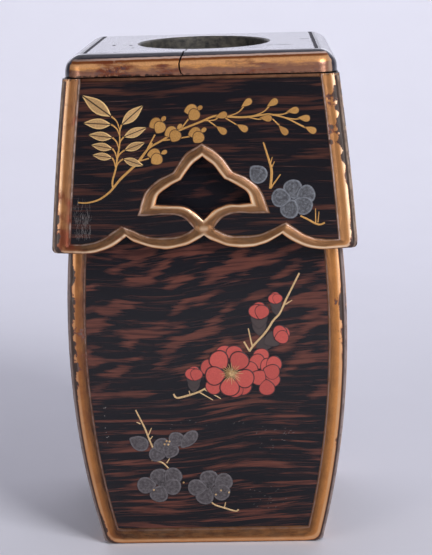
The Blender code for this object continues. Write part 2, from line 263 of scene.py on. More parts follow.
# %% Sizes of the gold's pattern
GRAIN_SIZE = 0.3  # mm; real powder is ten times finer, and would not show
BRUSHING = 26.0  # brush marks are this much finer across than along
CREST_AT = 0.35  # how far across every moulding's crest is put
BEAD_FROM, BEAD_TO = 0.87, 0.94


def stripe(add, value, low, high, soft):
    """1 where a value lies between two limits, with soft ends."""
    rising = add(RANGE, value, low - soft, low)
    falling = add(RANGE, value, high, high + soft, 1.0, 0.0)
    return add(TIMES, rising, falling)


print(f"the bead lies at {BEAD_FROM} to {BEAD_TO} of the way across")

# %% Gold that wears through to its undercoat


def worn_gold(name, light, dark, shade, pale, bead, base, arris, chipping=0.45,
              crest_highlight_left=0.7, staining=0.2, undercoat="6b3420"):
    """Gold with painted highlight and shade across a moulding, thinning to what lies below."""
    material, add, shader = new_finish(name, light, 0.34, 0.6)
    place = in_millimetres(add)
    across, upright, wear = (add(ATTRIBUTE, attribute_name=label).outputs["Fac"]
                             for label in ("across", "upright", "wear"))
    cloud = add(NOISE, place, 0.3, 3.0)
    powder = add(NOISE, place, 1 / GRAIN_SIZE, 2.0)
    chips = add(NOISE, place, 0.45, 4.0, 0.6)
    marks = add(NOISE, place, 0.35, 3.0, {"Roughness": 0.6, "W": add(TIMES, across, BRUSHING)},
                noise_dimensions="4D")
    # the gold is lighter towards the right of the front and darker towards the left
    aside = add(RANGE, add(SPLIT, place).outputs[0], -30.0, 30.0, 1.0, 0.0)
    duller = add(TIMES_PLUS, aside, 0.7, add(RANGE, cloud, 0.3, 0.75, -0.2, 0.4), use_clamp=True)
    grains = add(RANGE, powder, 0.35, 0.75, 0.0, 0.3)
    # darker and browner towards the panel, partly dirt and partly painted shade; a band's inner
    # half is mottled paler
    inner = add(RANGE, across, CREST_AT - 0.1, add(BETWEEN, upright, 0.5, 0.75))
    inner = add(TIMES, inner, add(RANGE, marks, 0.38, 0.60, 1.0, 0.75))
    inner = add(TIMES, inner, add(RANGE, aside, 0.0, 1.0, 0.75, 1.0))
    band = add(RANGE, upright, 0.0, 1.0, 1.0, 0.0)
    mottle = add(TIMES, add(TIMES, add(RANGE, chips, 0.42, 0.60, 0.0, 0.16), band), inner)
    # a painted highlight: pale along a post's outer edge and along a band's crest
    shifted = add(PLUS, across, add(RANGE, upright, 0.0, 1.0, -0.16, 0.0))
    crest = stripe(add, shifted, 0.02, 0.16, 0.10)
    crest = add(TIMES, crest, add(RANGE, cloud, 0.35, 0.6, 0.55, 0.9))
    crest_highlight_by_side = add(RANGE, aside, 0.0, 1.0, 1.0, crest_highlight_left)
    crest = add(TIMES, crest, add(BETWEEN, upright, 1.0, crest_highlight_by_side))
    # a painted highlight along the bead, broken here and there, and fainter on a band
    broken = add(RANGE, chips, 0.40, 0.55, 0.4, 1.0)
    line = add(TIMES, stripe(add, across, BEAD_FROM, BEAD_TO, 0.04), broken)
    line = add(TIMES, line, add(RANGE, upright, 0.0, 1.0, 0.4, 1.0))
    # stains of the undercoat's colour, most of all at the left
    stain = add(RANGE, add(TIMES_PLUS, wear, 0.5, cloud), 0.60, 0.76, 0.0, staining)
    stain = add(TIMES, stain, aside)
    # flakes bite in from the arris, and worn places thin in patches
    bite = add(MINUS, add(TIMES, add(RANGE, chips, 0.42, 0.60, 0.02, chipping), wear), across)
    patch = add(MINUS, add(TIMES_PLUS, wear, 0.25, chips), 0.80)
    gone = add(HIGHER, bite, patch)
    thin = add(RANGE, gone, -0.06, 0.0)
    bare = add(RANGE, gone, 0.0, 0.03)
    # the arris is grey, partly worn lacquer and partly a painted highlight on its rounding;
    # in the groove beside the gold, a dark line of painted shade
    strip = add(TIMES, add(RANGE, across, -0.10, -0.26), broken)
    groove = stripe(add, across, -0.09, 0.2, 0.04)
    below = laid_over(add, base, (strip, arris), (groove, "35231a"))
    colour = laid_over(add, light, (duller, dark), (grains, dark), (inner, shade),
                       (mottle, "a88c6c"), (crest, pale), (line, bead), (stain, undercoat),
                       (thin, undercoat), (bare, below))
    metal = add(RANGE, gone, -0.06, 0.0, 0.6, 0.0)
    satin = add(RANGE, powder, 0.3, 0.7, 0.28, 0.42)
    height = add(TIMES_PLUS, marks, 1.5, add(TIMES_PLUS, bare, -1.0, powder))
    bump = add(BUMP, 0.3, 0.04 * MM, height)
    finish_inputs(shader, Base_Color=colour, Metallic=metal, Roughness=satin, Normal=bump)
    return material


# the colours pale and bead are painted highlights, and shade is partly painted shade
case_gold = worn_gold("gold lacquer of the case's frame", "d9924f", "a0673a", "38231a",
                      "e0ac7c", "94786c", "5c4a44", "94827c")
cover_gold = worn_gold("gold lacquer of the cover's frame", "da9a5e", "a87044", "4c3422",
                       "fadab4", "d0b8ae", "4a342a", "a8927e", 0.5, 0.5, 0.85, "74341e")
fillet_coat = worn_gold("thin gold and red under the board", "c08c60", "6c4430", "5c3526",
                        "c89a74", "5c3526", "241a1a", "241a1a", undercoat="4a2219")
print("gold lacquers:", ", ".join((case_gold.name, cover_gold.name, fillet_coat.name)))

# %% [markdown]
# The edge of the board is the most handled part. Its front is in bands: the top's black lacquer
# ends in a dull dark band, then a pale line that is a painted highlight, then gold that is orange
# above, with a painted highlight where it is brightest, and brown below, which is partly painted
# shade, with stains drawn out along it. A painted highlight makes the right end pale. Round the
# corners the edge is black lacquer again, with one dark line where the top ends. Each point says
# how far down the roll it lies.

# %% The rubbed edge of the board
# the pale line is a painted highlight
DARK_BAND, PALE_LINE = (0.19, 0.43), (0.45, 0.52)  # shares of the roll
# PEAK is a painted highlight: the brightest gold
PEAK = (0.66, 0.74)  # the brightest gold
GOLD_TO_CORNER = 0.1  # mm past the corner's diagonal that the gold reaches


def rubbed_edge():
    """Bands down the roll of the front; black lacquer round the corners."""
    material, add, shader = new_finish("rubbed gold and black of the board's edge", "c98a4c", 0.3,
                                       Coat_Roughness=0.12, IOR=1.8)
    place = in_millimetres(add)
    wear, down = (add(ATTRIBUTE, attribute_name=label).outputs["Fac"]
                  for label in ("wear", "across"))
    x, y, z = add(SPLIT, place).outputs
    stains = add(NOISE, in_millimetres(add, (0.2, 0.2, 0.9)), 1.0, 4.0, 0.6)
    fine = add(NOISE, place, 0.8, 4.0, 0.6)
    powder = add(NOISE, place, 1 / GRAIN_SIZE, 2.0)
    # the bands lie a little higher on the roll towards the right
    level = add(TIMES_PLUS, x, 0.0022, down)
    uneven = add(TIMES_PLUS, fine, 0.06, level)
    # the brown low on the roll is partly the gold's own colour and partly painted shade
    brown = add(RANGE, add(TIMES_PLUS, stains, 0.7, level), 1.08, 1.26)
    # a painted highlight where the gold is brightest
    peak_highlight = add(TIMES, stripe(add, uneven, *PEAK, 0.08), 0.8)
    upper = stripe(add, uneven, PALE_LINE[1] + 0.03, PALE_LINE[1] + 0.09, 0.06)
    grains = add(RANGE, powder, 0.35, 0.75, 0.0, 0.3)
    stained = add(RANGE, add(TIMES_PLUS, wear, 0.30, stains), 0.60, 0.78, 0.0, 0.9)
    greyed = add(TIMES, add(TIMES, add(RANGE, fine, 0.50, 0.62), wear), brown)
    fleck = add(RANGE, add(TIMES_PLUS, wear, -0.22, fine), 0.18, 0.30, 0.7, 0.0)
    chipped = add(RANGE, add(TIMES_PLUS, wear, 0.28, fine), 0.83, 0.87)
    # the lowest part of the edge, next to the seam, is darker, most of all at the left
    low = add(TIMES, fine, add(RANGE, z, BOARD_LOW + 0.9, BOARD_LOW + 0.3))
    low = add(TIMES, add(RANGE, low, 0.45, 0.52), add(RANGE, x, -12.0, 4.0, 0.85, 0.4))
    # a painted highlight makes the right end of the gold pale; at the left end the bands above it
    # run out
    right_end_highlight = add(RANGE, x, 29.0, 29.8, 0.0, 0.6)
    from_left = add(RANGE, x, -29.0, -25.0)
    pale_line_highlight = add(RANGE, x, -27.0, -17.0, 0.45, 1.0)
    gold = laid_over(add, "eeaa66", (brown, "966a55"), (peak_highlight, "f4b47a"), (upper, "8a4c24"),
                     (grains, "8a5a36"), (stained, "7c3a1f"), (greyed, "5f5258"),
                     (fleck, "b98f70"), (chipped, "241b1e"), (low, "2c1d19"),
                     (right_end_highlight, "ffd8b8"))
    # bands of the front, over black lacquer, as far as the corners' diagonals
    past = add(PLUS, add(MATH, x, operation="ABSOLUTE"), y)
    past = add(TIMES_PLUS, fine, 1.6, past)
    front = add(RANGE, past, GOLD_TO_CORNER + 0.8, GOLD_TO_CORNER + 1.0, 1.0, 0.0)
    dark = add(TIMES, stripe(add, uneven, *DARK_BAND, 0.03), from_left)
    # the pale line is a painted highlight, fainter towards the left
    pale = add(TIMES, stripe(add, uneven, *PALE_LINE, 0.02), pale_line_highlight)
    gilt = add(RANGE, uneven, PALE_LINE[1], PALE_LINE[1] + 0.02)
    banded = laid_over(add, "262229", (gilt, gold), (dark, "2a252b"), (pale, "bb9c8c"))
    colour = add(BLEND, front, "2c2830", banded)
    # gloss only where neither gold nor the dull band lies
    dull = add(TIMES, add(RANGE, uneven, DARK_BAND[0] - 0.03, DARK_BAND[0]), front)
    dull = add(HIGHER, dull, add(RANGE, down, 0.09, 0.12, 1.0, 0.0))
    coat = add(RANGE, dull, 0.0, 1.0, 0.6, 0.0)
    sheen = add(RANGE, dull, 0.0, 1.0, 0.6, 0.25)
    metal = add(TIMES, add(TIMES, gilt, front), 0.45)
    height = add(TIMES_PLUS, chipped, -1.5, powder)
    bump = add(BUMP, 0.3, 0.05 * MM, height)
    finish_inputs(shader, Base_Color=colour, Metallic=metal, Coat_Weight=coat,
                  Specular_IOR_Level=sheen, Normal=bump)
    return material


board_edge = rubbed_edge()
print("the board's edge:", board_edge.name)

# %% [markdown]
# ## Plain dark finishes
# The top of the board is plain black lacquer, polished flat, with a few pits and fine cracks.
# Towards its left and right edges the polish ends at a fine dull line. Inside, where nobody
# looks, the wood has one thin brown-black coat that shows its grain, and round the hole that
# coat has been rubbed down to a mottled grey-green wood.

# %% Polished black, thin inner coat and rubbed wood
MARKS = (  # pits and fine cracks in the top: x, y, half length, half breadth
    (-17.6, -5.7, 0.5, 1.2), (-16.5, -13.7, 0.45, 1.0), (-21.8, -4.4, 0.5, 1.4),
    (-22.8, -26.4, 1.6, 0.5), (-19.5, -26.2, 0.9, 0.4), (15.9, -14.6, 0.8, 0.6),
    (19.3, -14.0, 2.6, 0.5), (24.7, 2.8, 1.5, 0.6), (12.2, -20.6, 2.0, 0.4),
    (-23.5, -27.4, 4.0, 0.55))
BORDER = BOARD_HALF - 5.1  # mm from the middle, where a dull line ends the polish
FAR = 9.0  # farther from a mark than any that shows


def polished_black():
    """Black lacquer whose gloss is missing on its marks and outside its border line."""
    material, add, shader = new_finish("polished black lacquer of the board", "2a2630", 0.16,
                                       Coat_Weight=1.0, Coat_Roughness=0.12, IOR=1.8)
    place = in_millimetres(add)
    haze = add(NOISE, place, 0.25, 5.0, 0.7)
    colour = add(BLEND, add(RANGE, haze, 0.4, 0.7), "242028", "38333d")
    gloss = add(RANGE, haze, 0.35, 0.7, 0.12, 0.3)
    # a mark is near where the place, moved and squeezed to it, is short
    ragged = add(NOISE, place, 1.2, 2.0)
    nearest = FAR
    for x, y, length, breadth in MARKS:
        moved = add(MAPPING, place, {"Location": (x, y, HEIGHT), "Scale": (length, breadth, 2.0)},
                    vector_type="TEXTURE")
        far = add(VECTOR, moved, operation="LENGTH")
        nearest = add(LOWER, nearest, far.outputs["Value"])
    nearest = add(TIMES_PLUS, ragged, 1.2, nearest)
    sound = add(RANGE, nearest, 1.2, 1.7)
    aside = add(MATH, add(SPLIT, place).outputs[0], operation="ABSOLUTE")
    aside = add(TIMES_PLUS, ragged, 0.8, aside)
    sound = add(TIMES, sound, add(RANGE, aside, BORDER + 0.3, BORDER + 0.5, 1.0, 0.0))
    coat = add(RANGE, sound, 0.0, 1.0, 0.0, 0.6)
    sheen = add(RANGE, sound, 0.0, 1.0, 0.05, 0.45)
    gloss = add(BETWEEN, sound, 0.7, gloss)
    bump = add(BUMP, 0.5, 0.08 * MM, sound)
    finish_inputs(shader, Base_Color=colour, Roughness=gloss, Coat_Weight=coat,
                  Specular_IOR_Level=sheen, Normal=bump)
    return material


def grained_wood(name, light, dark, roughness, stretch):
    """Thinly coated wood; stretch is the scale of its grain per millimetre."""
    material, add, shader = new_finish(name, light, roughness)
    grain = add(NOISE, in_millimetres(add, stretch), 1.0, 6.0, 0.7)
    colour = add(BLEND, add(RANGE, grain, 0.35, 0.65), dark, light)
    bump = add(BUMP, 0.4, 0.08 * MM, grain)
    finish_inputs(shader, Base_Color=colour, Normal=bump)
    return material


board_black = polished_black()
inner_coat = grained_wood("thin inner coat over wood", "3b2a26", "1a1516", 0.5, (0.12, 0.12, 1.6))
rubbed_wood = grained_wood("rubbed wood of the hole", "6d685c", "2a2a2a", 0.6, (0.5, 0.5, 0.7))
print("dark finishes:", ", ".join((board_black.name, inner_coat.name, rubbed_wood.name)))

# %% [markdown]
# ## The rule of the shape
# Half the width of a side at any height is a parabola through three widths: at its foot, in the
# middle and at its top. The case swells 7 mm in the middle. The cover is nearly straight and
# flares downwards. The same three widths go to the node tree below, as named inputs.

# %% Widths of the case and the cover
CASE_FOOT_HALF = 26.8
BELLY_HALF, BELLY_HEIGHT = 33.0, 54.0
COVER_TOP_HALF, COVER_FOOT_HALF = 31.8, 35.6
COVER_BULGE = 0.25
ARRIS = 1.2  # radius of the upright corners


class Taper:
    """Half the width of one form between two heights: straight, plus a bulge in the middle."""

    def __init__(self, low, high, low_half, high_half, bulge):
        self.low, self.high = low, high
        self.low_half, self.high_half, self.bulge = low_half, high_half, bulge

    def half(self, z):
        share = (z - self.low) / (self.high - self.low)
        straight = self.low_half + (self.high_half - self.low_half) * share
        return straight + 4 * self.bulge * share * (1 - share)

    def bend(self, x, depth, z):
        """Place on the front side of a point drawn flat, as the node tree bends it."""
        flat = self.half(z) - ARRIS
        turn = max(abs(x) - flat, 0.0) / ARRIS * pi / 4
        reach = ARRIS - depth
        return Vector((copysign(min(abs(x), flat) + reach * sin(turn), x),
                       -flat - reach * cos(turn), z))


def belly(z):
    return BELLY_HALF - (BELLY_HALF - CASE_FOOT_HALF) * ((z - BELLY_HEIGHT) / BELLY_HEIGHT) ** 2


case_form = Taper(0.0, CASE_TOP, belly(0.0), belly(CASE_TOP),
                  belly(CASE_TOP / 2) - (belly(0.0) + belly(CASE_TOP)) / 2)
cover_form = Taper(SKIRT_FOOT, SKIRT_TOP, COVER_FOOT_HALF, COVER_TOP_HALF, COVER_BULGE)
print(f"case half width {case_form.half(0):.1f}, {case_form.half(54):.1f}, "
      f"{case_form.half(CASE_TOP):.1f} mm; cover {cover_form.half(SKIRT_FOOT):.1f} mm at its foot")

# %% [markdown]
# ## Outlines of the mouldings
# A moulding has a free edge and an inner edge, given as pairs of points on the flat side. The
# foot of the cover is scalloped, arcs of one radius that meet in cusps, and the trefoil's band
# crosses the foot's band in the middle. Curves between the given pairs are Catmull-Rom, which
# passes through every point given.

# %% Sizes and given points
FRAME = 4.5  # width of the frame along a side's edges
CORNER_ROUND = 2.3  # radius of a side's lower corners
PANEL_DEPTH = 0.6  # how far a panel lies below its frame
CASE_RAIL = 4.05  # height of the frame's lower rail on the case
TOP_RAIL = 0.8  # height of the fillet under the cover's board
LOBE_RADIUS, LOBE_X, LOBE_FOOT = 15.0, 9.0, 75.3
CUSP_X, OUTER_LOBE_X = 18.0, 28.0
CROSS_Z, CROSS_HALF = 79.9, 2.3
FOOT_INNER_Z = 76.8
RUN_STEPS = 8
CORNER_STEPS = 8
CORNER_RUN = 4.8  # mm before a lower corner's end in which a band becomes a post
HAND_WOBBLE = 0.15  # mm, at most
FOOT_RUNS = (
    ((0.0, 1.6), ((0.0, CROSS_Z), (CROSS_HALF, CROSS_Z))),
    ((1.6, 5.2, 9.0, 13.2, CUSP_X),
     ((CROSS_HALF, CROSS_Z), (5.6, 78.3), (9.2, 78.0), (13.4, 78.5), (19.1, 81.0))),
    ((CUSP_X, 21.3, 24.6, OUTER_LOBE_X),
     ((19.1, 81.0), (22.0, 78.9), (25.0, 77.4), (28.2, FOOT_INNER_Z))),
)
TREFOIL_RUNS = (
    (((0.0, 96.5), (2.6, 94.3), (4.9, 91.2)),
     ((0.0, 99.4), (3.9, 97.0), (6.9, 92.9))),
    (((4.9, 91.2), (8.0, 89.6), (10.3, 87.8), (11.0, 85.6)),
     ((6.9, 92.9), (10.4, 91.2), (13.4, 88.4), (15.4, 83.0))),
    (((11.0, 85.6), (8.4, 85.3), (5.8, 85.25), (3.6, 84.7), (1.9, 83.6)),
     ((15.4, 83.0), (11.6, 83.0), (8.0, 83.2), (4.6, 82.3), (CROSS_HALF, CROSS_Z))),
    (((1.9, 83.6), (0.0, 81.8)),
     ((CROSS_HALF, CROSS_Z), (0.0, CROSS_Z))),
)
print(f"{len(FOOT_RUNS)} runs along half the foot, {len(TREFOIL_RUNS)} round half the trefoil")

# %% Smooth runs of paired points


def smooth_run(points, steps=RUN_STEPS):
    """Curve through the points, with a number of steps between each two."""
    points = [Vector(p) if hasattr(p, "__len__") else Vector((p, 0.0)) for p in points]
    if len(points) == 2:
        return [points[0].lerp(points[1], step / steps) for step in range(steps + 1)]
    ends = [points[0] * 2 - points[1]] + points + [points[-1] * 2 - points[-2]]
    curve = []
    for first, start, end, last in zip(ends, ends[1:], ends[2:], ends[3:]):
        for step in range(steps):
            t = step / steps
            curve.append(0.5 * (2 * start + (end - first) * t
                                + (2 * first - 5 * start + 4 * end - last) * t ** 2
                                + (3 * start - first - 3 * end + last) * t ** 3))
    return curve + [points[-1]]


FLIP = Vector((-1.0, 1.0))  # a point times this is its twin on the other half


def mirrored(stations):
    """Pairs given from the middle outwards, made whole from left to right."""
    return [tuple(p * FLIP for p in pair) for pair in reversed(stations[1:])] + stations


def scallop_z(x):
    """Height of the cover's foot at x."""
    centre, foot = (LOBE_X, LOBE_FOOT) if abs(x) <= CUSP_X else (OUTER_LOBE_X, SKIRT_FOOT)
    offset = abs(x) - centre if abs(x) <= CUSP_X else min(abs(x) - centre, 0.0)
    return foot + LOBE_RADIUS - sqrt(LOBE_RADIUS ** 2 - offset ** 2)


def by_hand(pairs):
    """The same pairs as a hand would cut them, off by a tenth of a millimetre or two."""
    def off(point):
        # nothing moves at the corners, where the next side joins, nor at the crossing
        steady = min(max((27.0 - abs(point.x)) / 4.0, 0.0), 1.0)
        from_crossing = (Vector((abs(point.x) - CROSS_HALF, point.y - CROSS_Z))).length
        place = Vector((point.x, point.y, 0.0)) * 0.4
        wobble = Vector((noise.noise(place), noise.noise(place + Vector((0.0, 0.0, 9.0)))))
        return point + HAND_WOBBLE * steady * min(from_crossing / 2, 1.0) * wobble
    return [(off(edge), off(inner)) for edge, inner in pairs]


def corner_pairs(form, inner_corner):
    """The rounded lower corner of a side, from below up to the upright corner."""
    pairs = []
    for step in range(CORNER_STEPS + 1):
        angle = pi / 2 * step / CORNER_STEPS
        z = form.low + CORNER_ROUND * (1 - cos(angle))
        pairs.append((Vector((form.half(z) - CORNER_ROUND * (1 - sin(angle)), z)), inner_corner))
    return pairs


print(f"a cusp of the foot is at {scallop_z(CUSP_X):.1f} mm")

# %% The three bands


def foot_band():
    """Pairs of the lower and upper edge of the band along the scalloped foot."""
    pairs = []
    for free_edge, upper_edge in FOOT_RUNS:
        lower = [Vector((p.x, scallop_z(p.x))) for p in smooth_run(free_edge)]
        pairs += list(zip(lower, smooth_run(upper_edge)))[1 if pairs else 0:]
    inner = Vector((cover_form.half(FOOT_INNER_Z) - FRAME, FOOT_INNER_Z))
    return by_hand(mirrored(pairs + corner_pairs(cover_form, inner)))


def trefoil_band():
    """Pairs of the inner and outer edge of the closed band round the opening."""
    right = []
    for opening, outer in TREFOIL_RUNS:
        right += list(zip(smooth_run(opening), smooth_run(outer)))[1 if right else 0:]
    left = [tuple(p * FLIP for p in pair) for pair in reversed(right[1:-1])]
    return by_hand(right + left)


def case_band():
    """Pairs of the lower and upper edge of the case's lower rail."""
    reach = case_form.half(0.0) - CORNER_ROUND
    inner = Vector((case_form.half(CASE_RAIL) - FRAME, CASE_RAIL))
    steps = 24
    flat = [(Vector((reach * i / steps, 0.0)), Vector((inner.x * i / steps, CASE_RAIL)))
            for i in range(steps)]
    return mirrored(flat + corner_pairs(case_form, inner))


print(f"{len(foot_band())} pairs along the foot, {len(trefoil_band())} round the trefoil")

# %% [markdown]
# ## Drawing one side flat
# A side is drawn as if its face were a sheet: x along it, y the depth below the face, z up. A
# band rises to its crest near its free edge and falls away to a thin bead along its inner edge,
# which catches a pale line of light on the real box. An upright post differs at its outer edge:
# the bare arris stands first, then a groove, and the gold rises out of that. At the lower
# corners one section passes into the other. Each point keeps how far across the gold it lies,
# from 0 at the gold's outer edge to 1 at the panel, with the crest always at the same number;
# the bare arris lies below 0.

# %% The moulding's section
LACQUER, GOLD, INNER, FILLET = range(4)
OUTER_FALL, INNER_FALL = 0.26, 0.42  # mm that a moulding falls from its crest
CROSSING_ACROSS = 0.34  # where the bands cross, all of it is nearly crest
SWELL_X, SWELL_Z = 1.9, 1.6  # mm that the swelling at the crossing reaches
BAND_CREST, POST_CREST = 0.24, 0.56  # as shares of the width from the free edge
GROOVE_AT, POST_GOLD = 0.22, 0.25  # where a post's groove is, and where its gold begins
ARRIS_FALL, GROOVE_DEPTH = 0.06, 0.27
SHARES = (0.0, 0.05, 0.1, 0.15, 0.19, 0.22, 0.25, 0.29, 0.33, 0.37, 0.41, 0.46, 0.51, 0.56,
          0.63, 0.7, 0.76, 0.82, 0.88)
BEAD = {0.905: 0.44, 0.93: 0.36, 0.955: 0.37, 0.975: 0.48, 1.0: PANEL_DEPTH}


def band_depth(share):
    """Depth below the face across a band."""
    if share < BAND_CREST:
        return OUTER_FALL * ((BAND_CREST - share) / BAND_CREST) ** 2
    return INNER_FALL * ((share - BAND_CREST) / (SHARES[-1] - BAND_CREST)) ** 1.6


def post_depth(share):
    """Depth below the face across an upright post."""
    if share < GROOVE_AT:
        return ARRIS_FALL + (GROOVE_DEPTH - ARRIS_FALL) * (share / GROOVE_AT) ** 4
    if share < POST_CREST:
        return GROOVE_DEPTH * ((POST_CREST - share) / (POST_CREST - GROOVE_AT)) ** 2
    return INNER_FALL * ((share - POST_CREST) / (SHARES[-1] - POST_CREST)) ** 1.6


def section_point(share, upright):
    """Depth and place across the gold; upright goes from 0 on a band to 1 on a post."""
    places = []
    for crest, gold_from in ((BAND_CREST, 0.0), (POST_CREST, POST_GOLD)):
        if share < crest:
            places.append(CREST_AT * (share - gold_from) / (crest - gold_from))
        else:
            places.append(CREST_AT + (1 - CREST_AT) * (share - crest) / (1 - crest))
    across = places[0] + (places[1] - places[0]) * upright
    if share in BEAD:
        return BEAD[share], across
    return band_depth(share) * (1 - upright) + post_depth(share) * upright, across


ALL_SHARES = [*SHARES, *BEAD]
print(f"{len(ALL_SHARES)} points across a moulding")

# %% From drawn faces to an object
BARE = -0.4  # across the gold where there is none
SAME_PLACE = 0.002  # mm; corners nearer than this are one


def in_scene(name, data):
    """An object that shows this data, linked into the scene."""
    made = bpy.data.objects.new(name, data)
    bpy.context.scene.collection.objects.link(made)
    return made


def as_object(working, name, *materials):
    """An object made of a working mesh, with its materials."""
    mesh = bpy.data.meshes.new(name)
    working.to_mesh(mesh)
    working.free()
    for material in materials:
        mesh.materials.append(material)
    return in_scene(name, mesh)


print(f"corners within {SAME_PLACE} mm will be joined")

# %% The flat side


class FlatSide:
    """Faces of one side, drawn flat in millimetres; touching corners are joined."""

    def __init__(self, form, wall, crossing=False):
        self.form, self.wall, self.crossing = form, wall, crossing
        self.mesh = bmesh.new()
        self.across = self.mesh.verts.layers.float.new("across")
        self.upright = self.mesh.verts.layers.float.new("upright")
        self.finish = self.mesh.faces.layers.int.new("finish")

    def outer(self, point, depth, across=1.0, upright=0.0):
        """A corner on the outer face; the bands swell into one where they cross."""
        if self.crossing:
            near = exp(-(point.x / SWELL_X) ** 4 - ((point.y - CROSS_Z) / SWELL_Z) ** 2)
            depth = min(depth, PANEL_DEPTH * (1 - near))
            across += (CROSSING_ACROSS - across) * near
        return Vector((point.x, depth, point.y)), across, upright

    def inner(self, point):
        """The corner straight behind on the inner face; corners meet in a mitre."""
        half = self.form.half(point.y)
        x = point.x - copysign(self.wall * (abs(point.x) / half) ** 6, point.x)
        return Vector((x, self.wall, point.y)), BARE, 1.0

    def face(self, corners, finish):
        """One face, without the corners that repeat."""
        kept = []
        for corner in corners:
            if all((corner[0] - other[0]).length > 1e-4 for other in kept):
                kept.append(corner)
        if len(kept) > 2:
            verts = []
            for place, across, upright in kept:
                vert = self.mesh.verts.new(place)
                vert[self.across], vert[self.upright] = across, upright
                verts.append(vert)
            self.mesh.faces.new(verts)[self.finish] = finish

    def strip(self, first, second, finish, closed=False):
        """Quads between two rows of corners."""
        count = len(first)
        for i in range(count if closed else count - 1):
            j = (i + 1) % count
            self.face((first[i], first[j], second[j], second[i]), finish)

    def moulding(self, pairs, finish, closed=False, is_post=False):
        """Sweep the section along paired points; returns the corners of the free edge."""
        corner = self.form.half(self.form.low + CORNER_ROUND)
        rows = []
        for share in ALL_SHARES:
            row = []
            for edge, inner in pairs:
                turned = min(max((abs(edge.x) - corner) / CORNER_RUN + 1, 0.0), 1.0)
                upright = 1.0 if is_post else turned
                depth, across = section_point(share, upright)
                row.append(self.outer(edge.lerp(inner, share), depth, across, upright))
            rows.append(row)
        for first, second in zip(rows, rows[1:]):
            self.strip(first, second, finish, closed)
        return rows[0]

    def posts(self, foot, inner_foot, heights):
        """The frame's two uprights."""
        pairs = [(foot, inner_foot)]
        for z in heights[1:]:
            half = self.form.half(z)
            pairs.append((Vector((half, z)), Vector((half - FRAME, z))))
        for post in ([(edge * FLIP, inner * FLIP) for edge, inner in pairs], pairs):
            self.moulding(post, GOLD, is_post=True)

    def close_top(self, z, fillet=()):
        """The top face of the wall; returns the points of its rim."""
        half = self.form.half(z)
        rim = [(Vector((share * FRAME - half, z)), section_point(share, 1.0)[0])
               for share in ALL_SHARES]
        rim += list(fillet)
        rim += [(p * FLIP, depth) for p, depth in reversed(rim[:len(ALL_SHARES)])]
        self.strip([self.outer(p, depth) for p, depth in rim],
                   [self.inner(p) for p, _ in rim], INNER)
        return [p for p, _ in rim]

    def finished(self, name):
        """The side as an object, with its joints merged, scaled to metres."""
        bmesh.ops.remove_doubles(self.mesh, verts=self.mesh.verts, dist=SAME_PLACE)
        bmesh.ops.scale(self.mesh, vec=(MM,) * 3, verts=self.mesh.verts)
        return as_object(self.mesh, name)


print("a flat side can be drawn")

# %% [markdown]
# ## One side of the case
# The case's side is a frame of four mouldings round a plain panel, with a wall behind it and a
# quarter of the floor and of the underside. Four such quarters close the body. Between two
# rounded corners at the foot, a narrow strip runs to the diagonal where the next side begins.

# %% Draw the case's side
CASE_WALL, FLOOR = 2.8, 3.2
ROW_STEP, WALL_STEP = 1.1, 4.0  # mm between two rows of the posts, and of the wall behind


def spaced(start, end, step):
    """Heights from start to end, about a step apart."""
    count = round((end - start) / step)
    return [start + (end - start) * i / count for i in range(count + 1)]


def diagonal(form, corner):
    """The corner moved to the diagonal on which two sides meet."""
    place = form.bend(*corner[0])
    flat = form.half(place.z) - ARRIS
    reach = ((abs(place.x) + abs(place.y)) / 2 - flat) * sqrt(2)
    return Vector((copysign(flat + ARRIS, place.x), ARRIS - reach, place.z)), *corner[1:]


def draw_case_side():
    """The frame, the panel, the wall, and a quarter of the floor and of the underside."""
    side = FlatSide(case_form, CASE_WALL)
    heights = spaced(CASE_RAIL, CASE_TOP, ROW_STEP)
    band = case_band()
    foot_edge = side.moulding(band, GOLD)
    side.posts(*band[-1], heights)
    half_at = case_form.half
    rail = [side.outer(pair[1], PANEL_DEPTH) for pair in band]
    rows = [[side.outer(Vector((sign * (half_at(z) - FRAME), z)), PANEL_DEPTH)
             for sign in (-1, 1)] for z in heights[1:]]
    side.face(rail + rows[0][::-1], LACQUER)
    for low, high in zip(rows, rows[1:]):
        side.strip(low, high, LACQUER)
    rim = side.close_top(CASE_TOP)
    levels = spaced(FLOOR, CASE_TOP, WALL_STEP)
    wall = [[side.inner(Vector((sign * half_at(z), z))) for sign in (-1, 1)] for z in levels[:-1]]
    for low, high in zip(wall, wall[1:]):
        side.strip(low, high, INNER)
    side.face(wall[-1] + [side.inner(p) for p in reversed(rim)], INNER)
    side.face([wall[0][0], wall[0][1], (Vector((0.0, half_at(FLOOR), FLOOR)), BARE, 1.0)], INNER)

    # underside, with a strip to the diagonal at each corner
    left = foot_edge[CORNER_STEPS::-1]
    right = foot_edge[-CORNER_STEPS - 1:]
    for corner in (left, right):
        side.strip(corner, [diagonal(case_form, c) for c in corner], GOLD)
    base = [diagonal(case_form, left[0])] + foot_edge[CORNER_STEPS:-CORNER_STEPS]
    base += [diagonal(case_form, right[0]), (Vector((0.0, half_at(0.0), 0.0)), BARE, 1.0)]
    side.face(base, INNER)
    return side.finished("case_side")


case_side = draw_case_side()
print(f"case side: {len(case_side.data.polygons)} faces")

# %% [markdown]
# ## One side of the cover
# The cover's side is pierced by a trefoil and ends in scallops, so its panel is no grid. A
# Delaunay fill makes triangles between the outlines, with a few points strewn inside so that the
# panel can bend. The plain inner face is filled the same way.

# %% Fill between outlines


def is_inside(point, outline):
    """Whether a point lies inside a closed outline."""
    inside = False
    for start, end in zip(outline, [*outline[1:], *outline[:1]]):
        if (start.y > point.y) != (end.y > point.y):
            share = (point.y - start.y) / (end.y - start.y)
            if point.x < start.x + share * (end.x - start.x):
                inside = not inside
    return inside


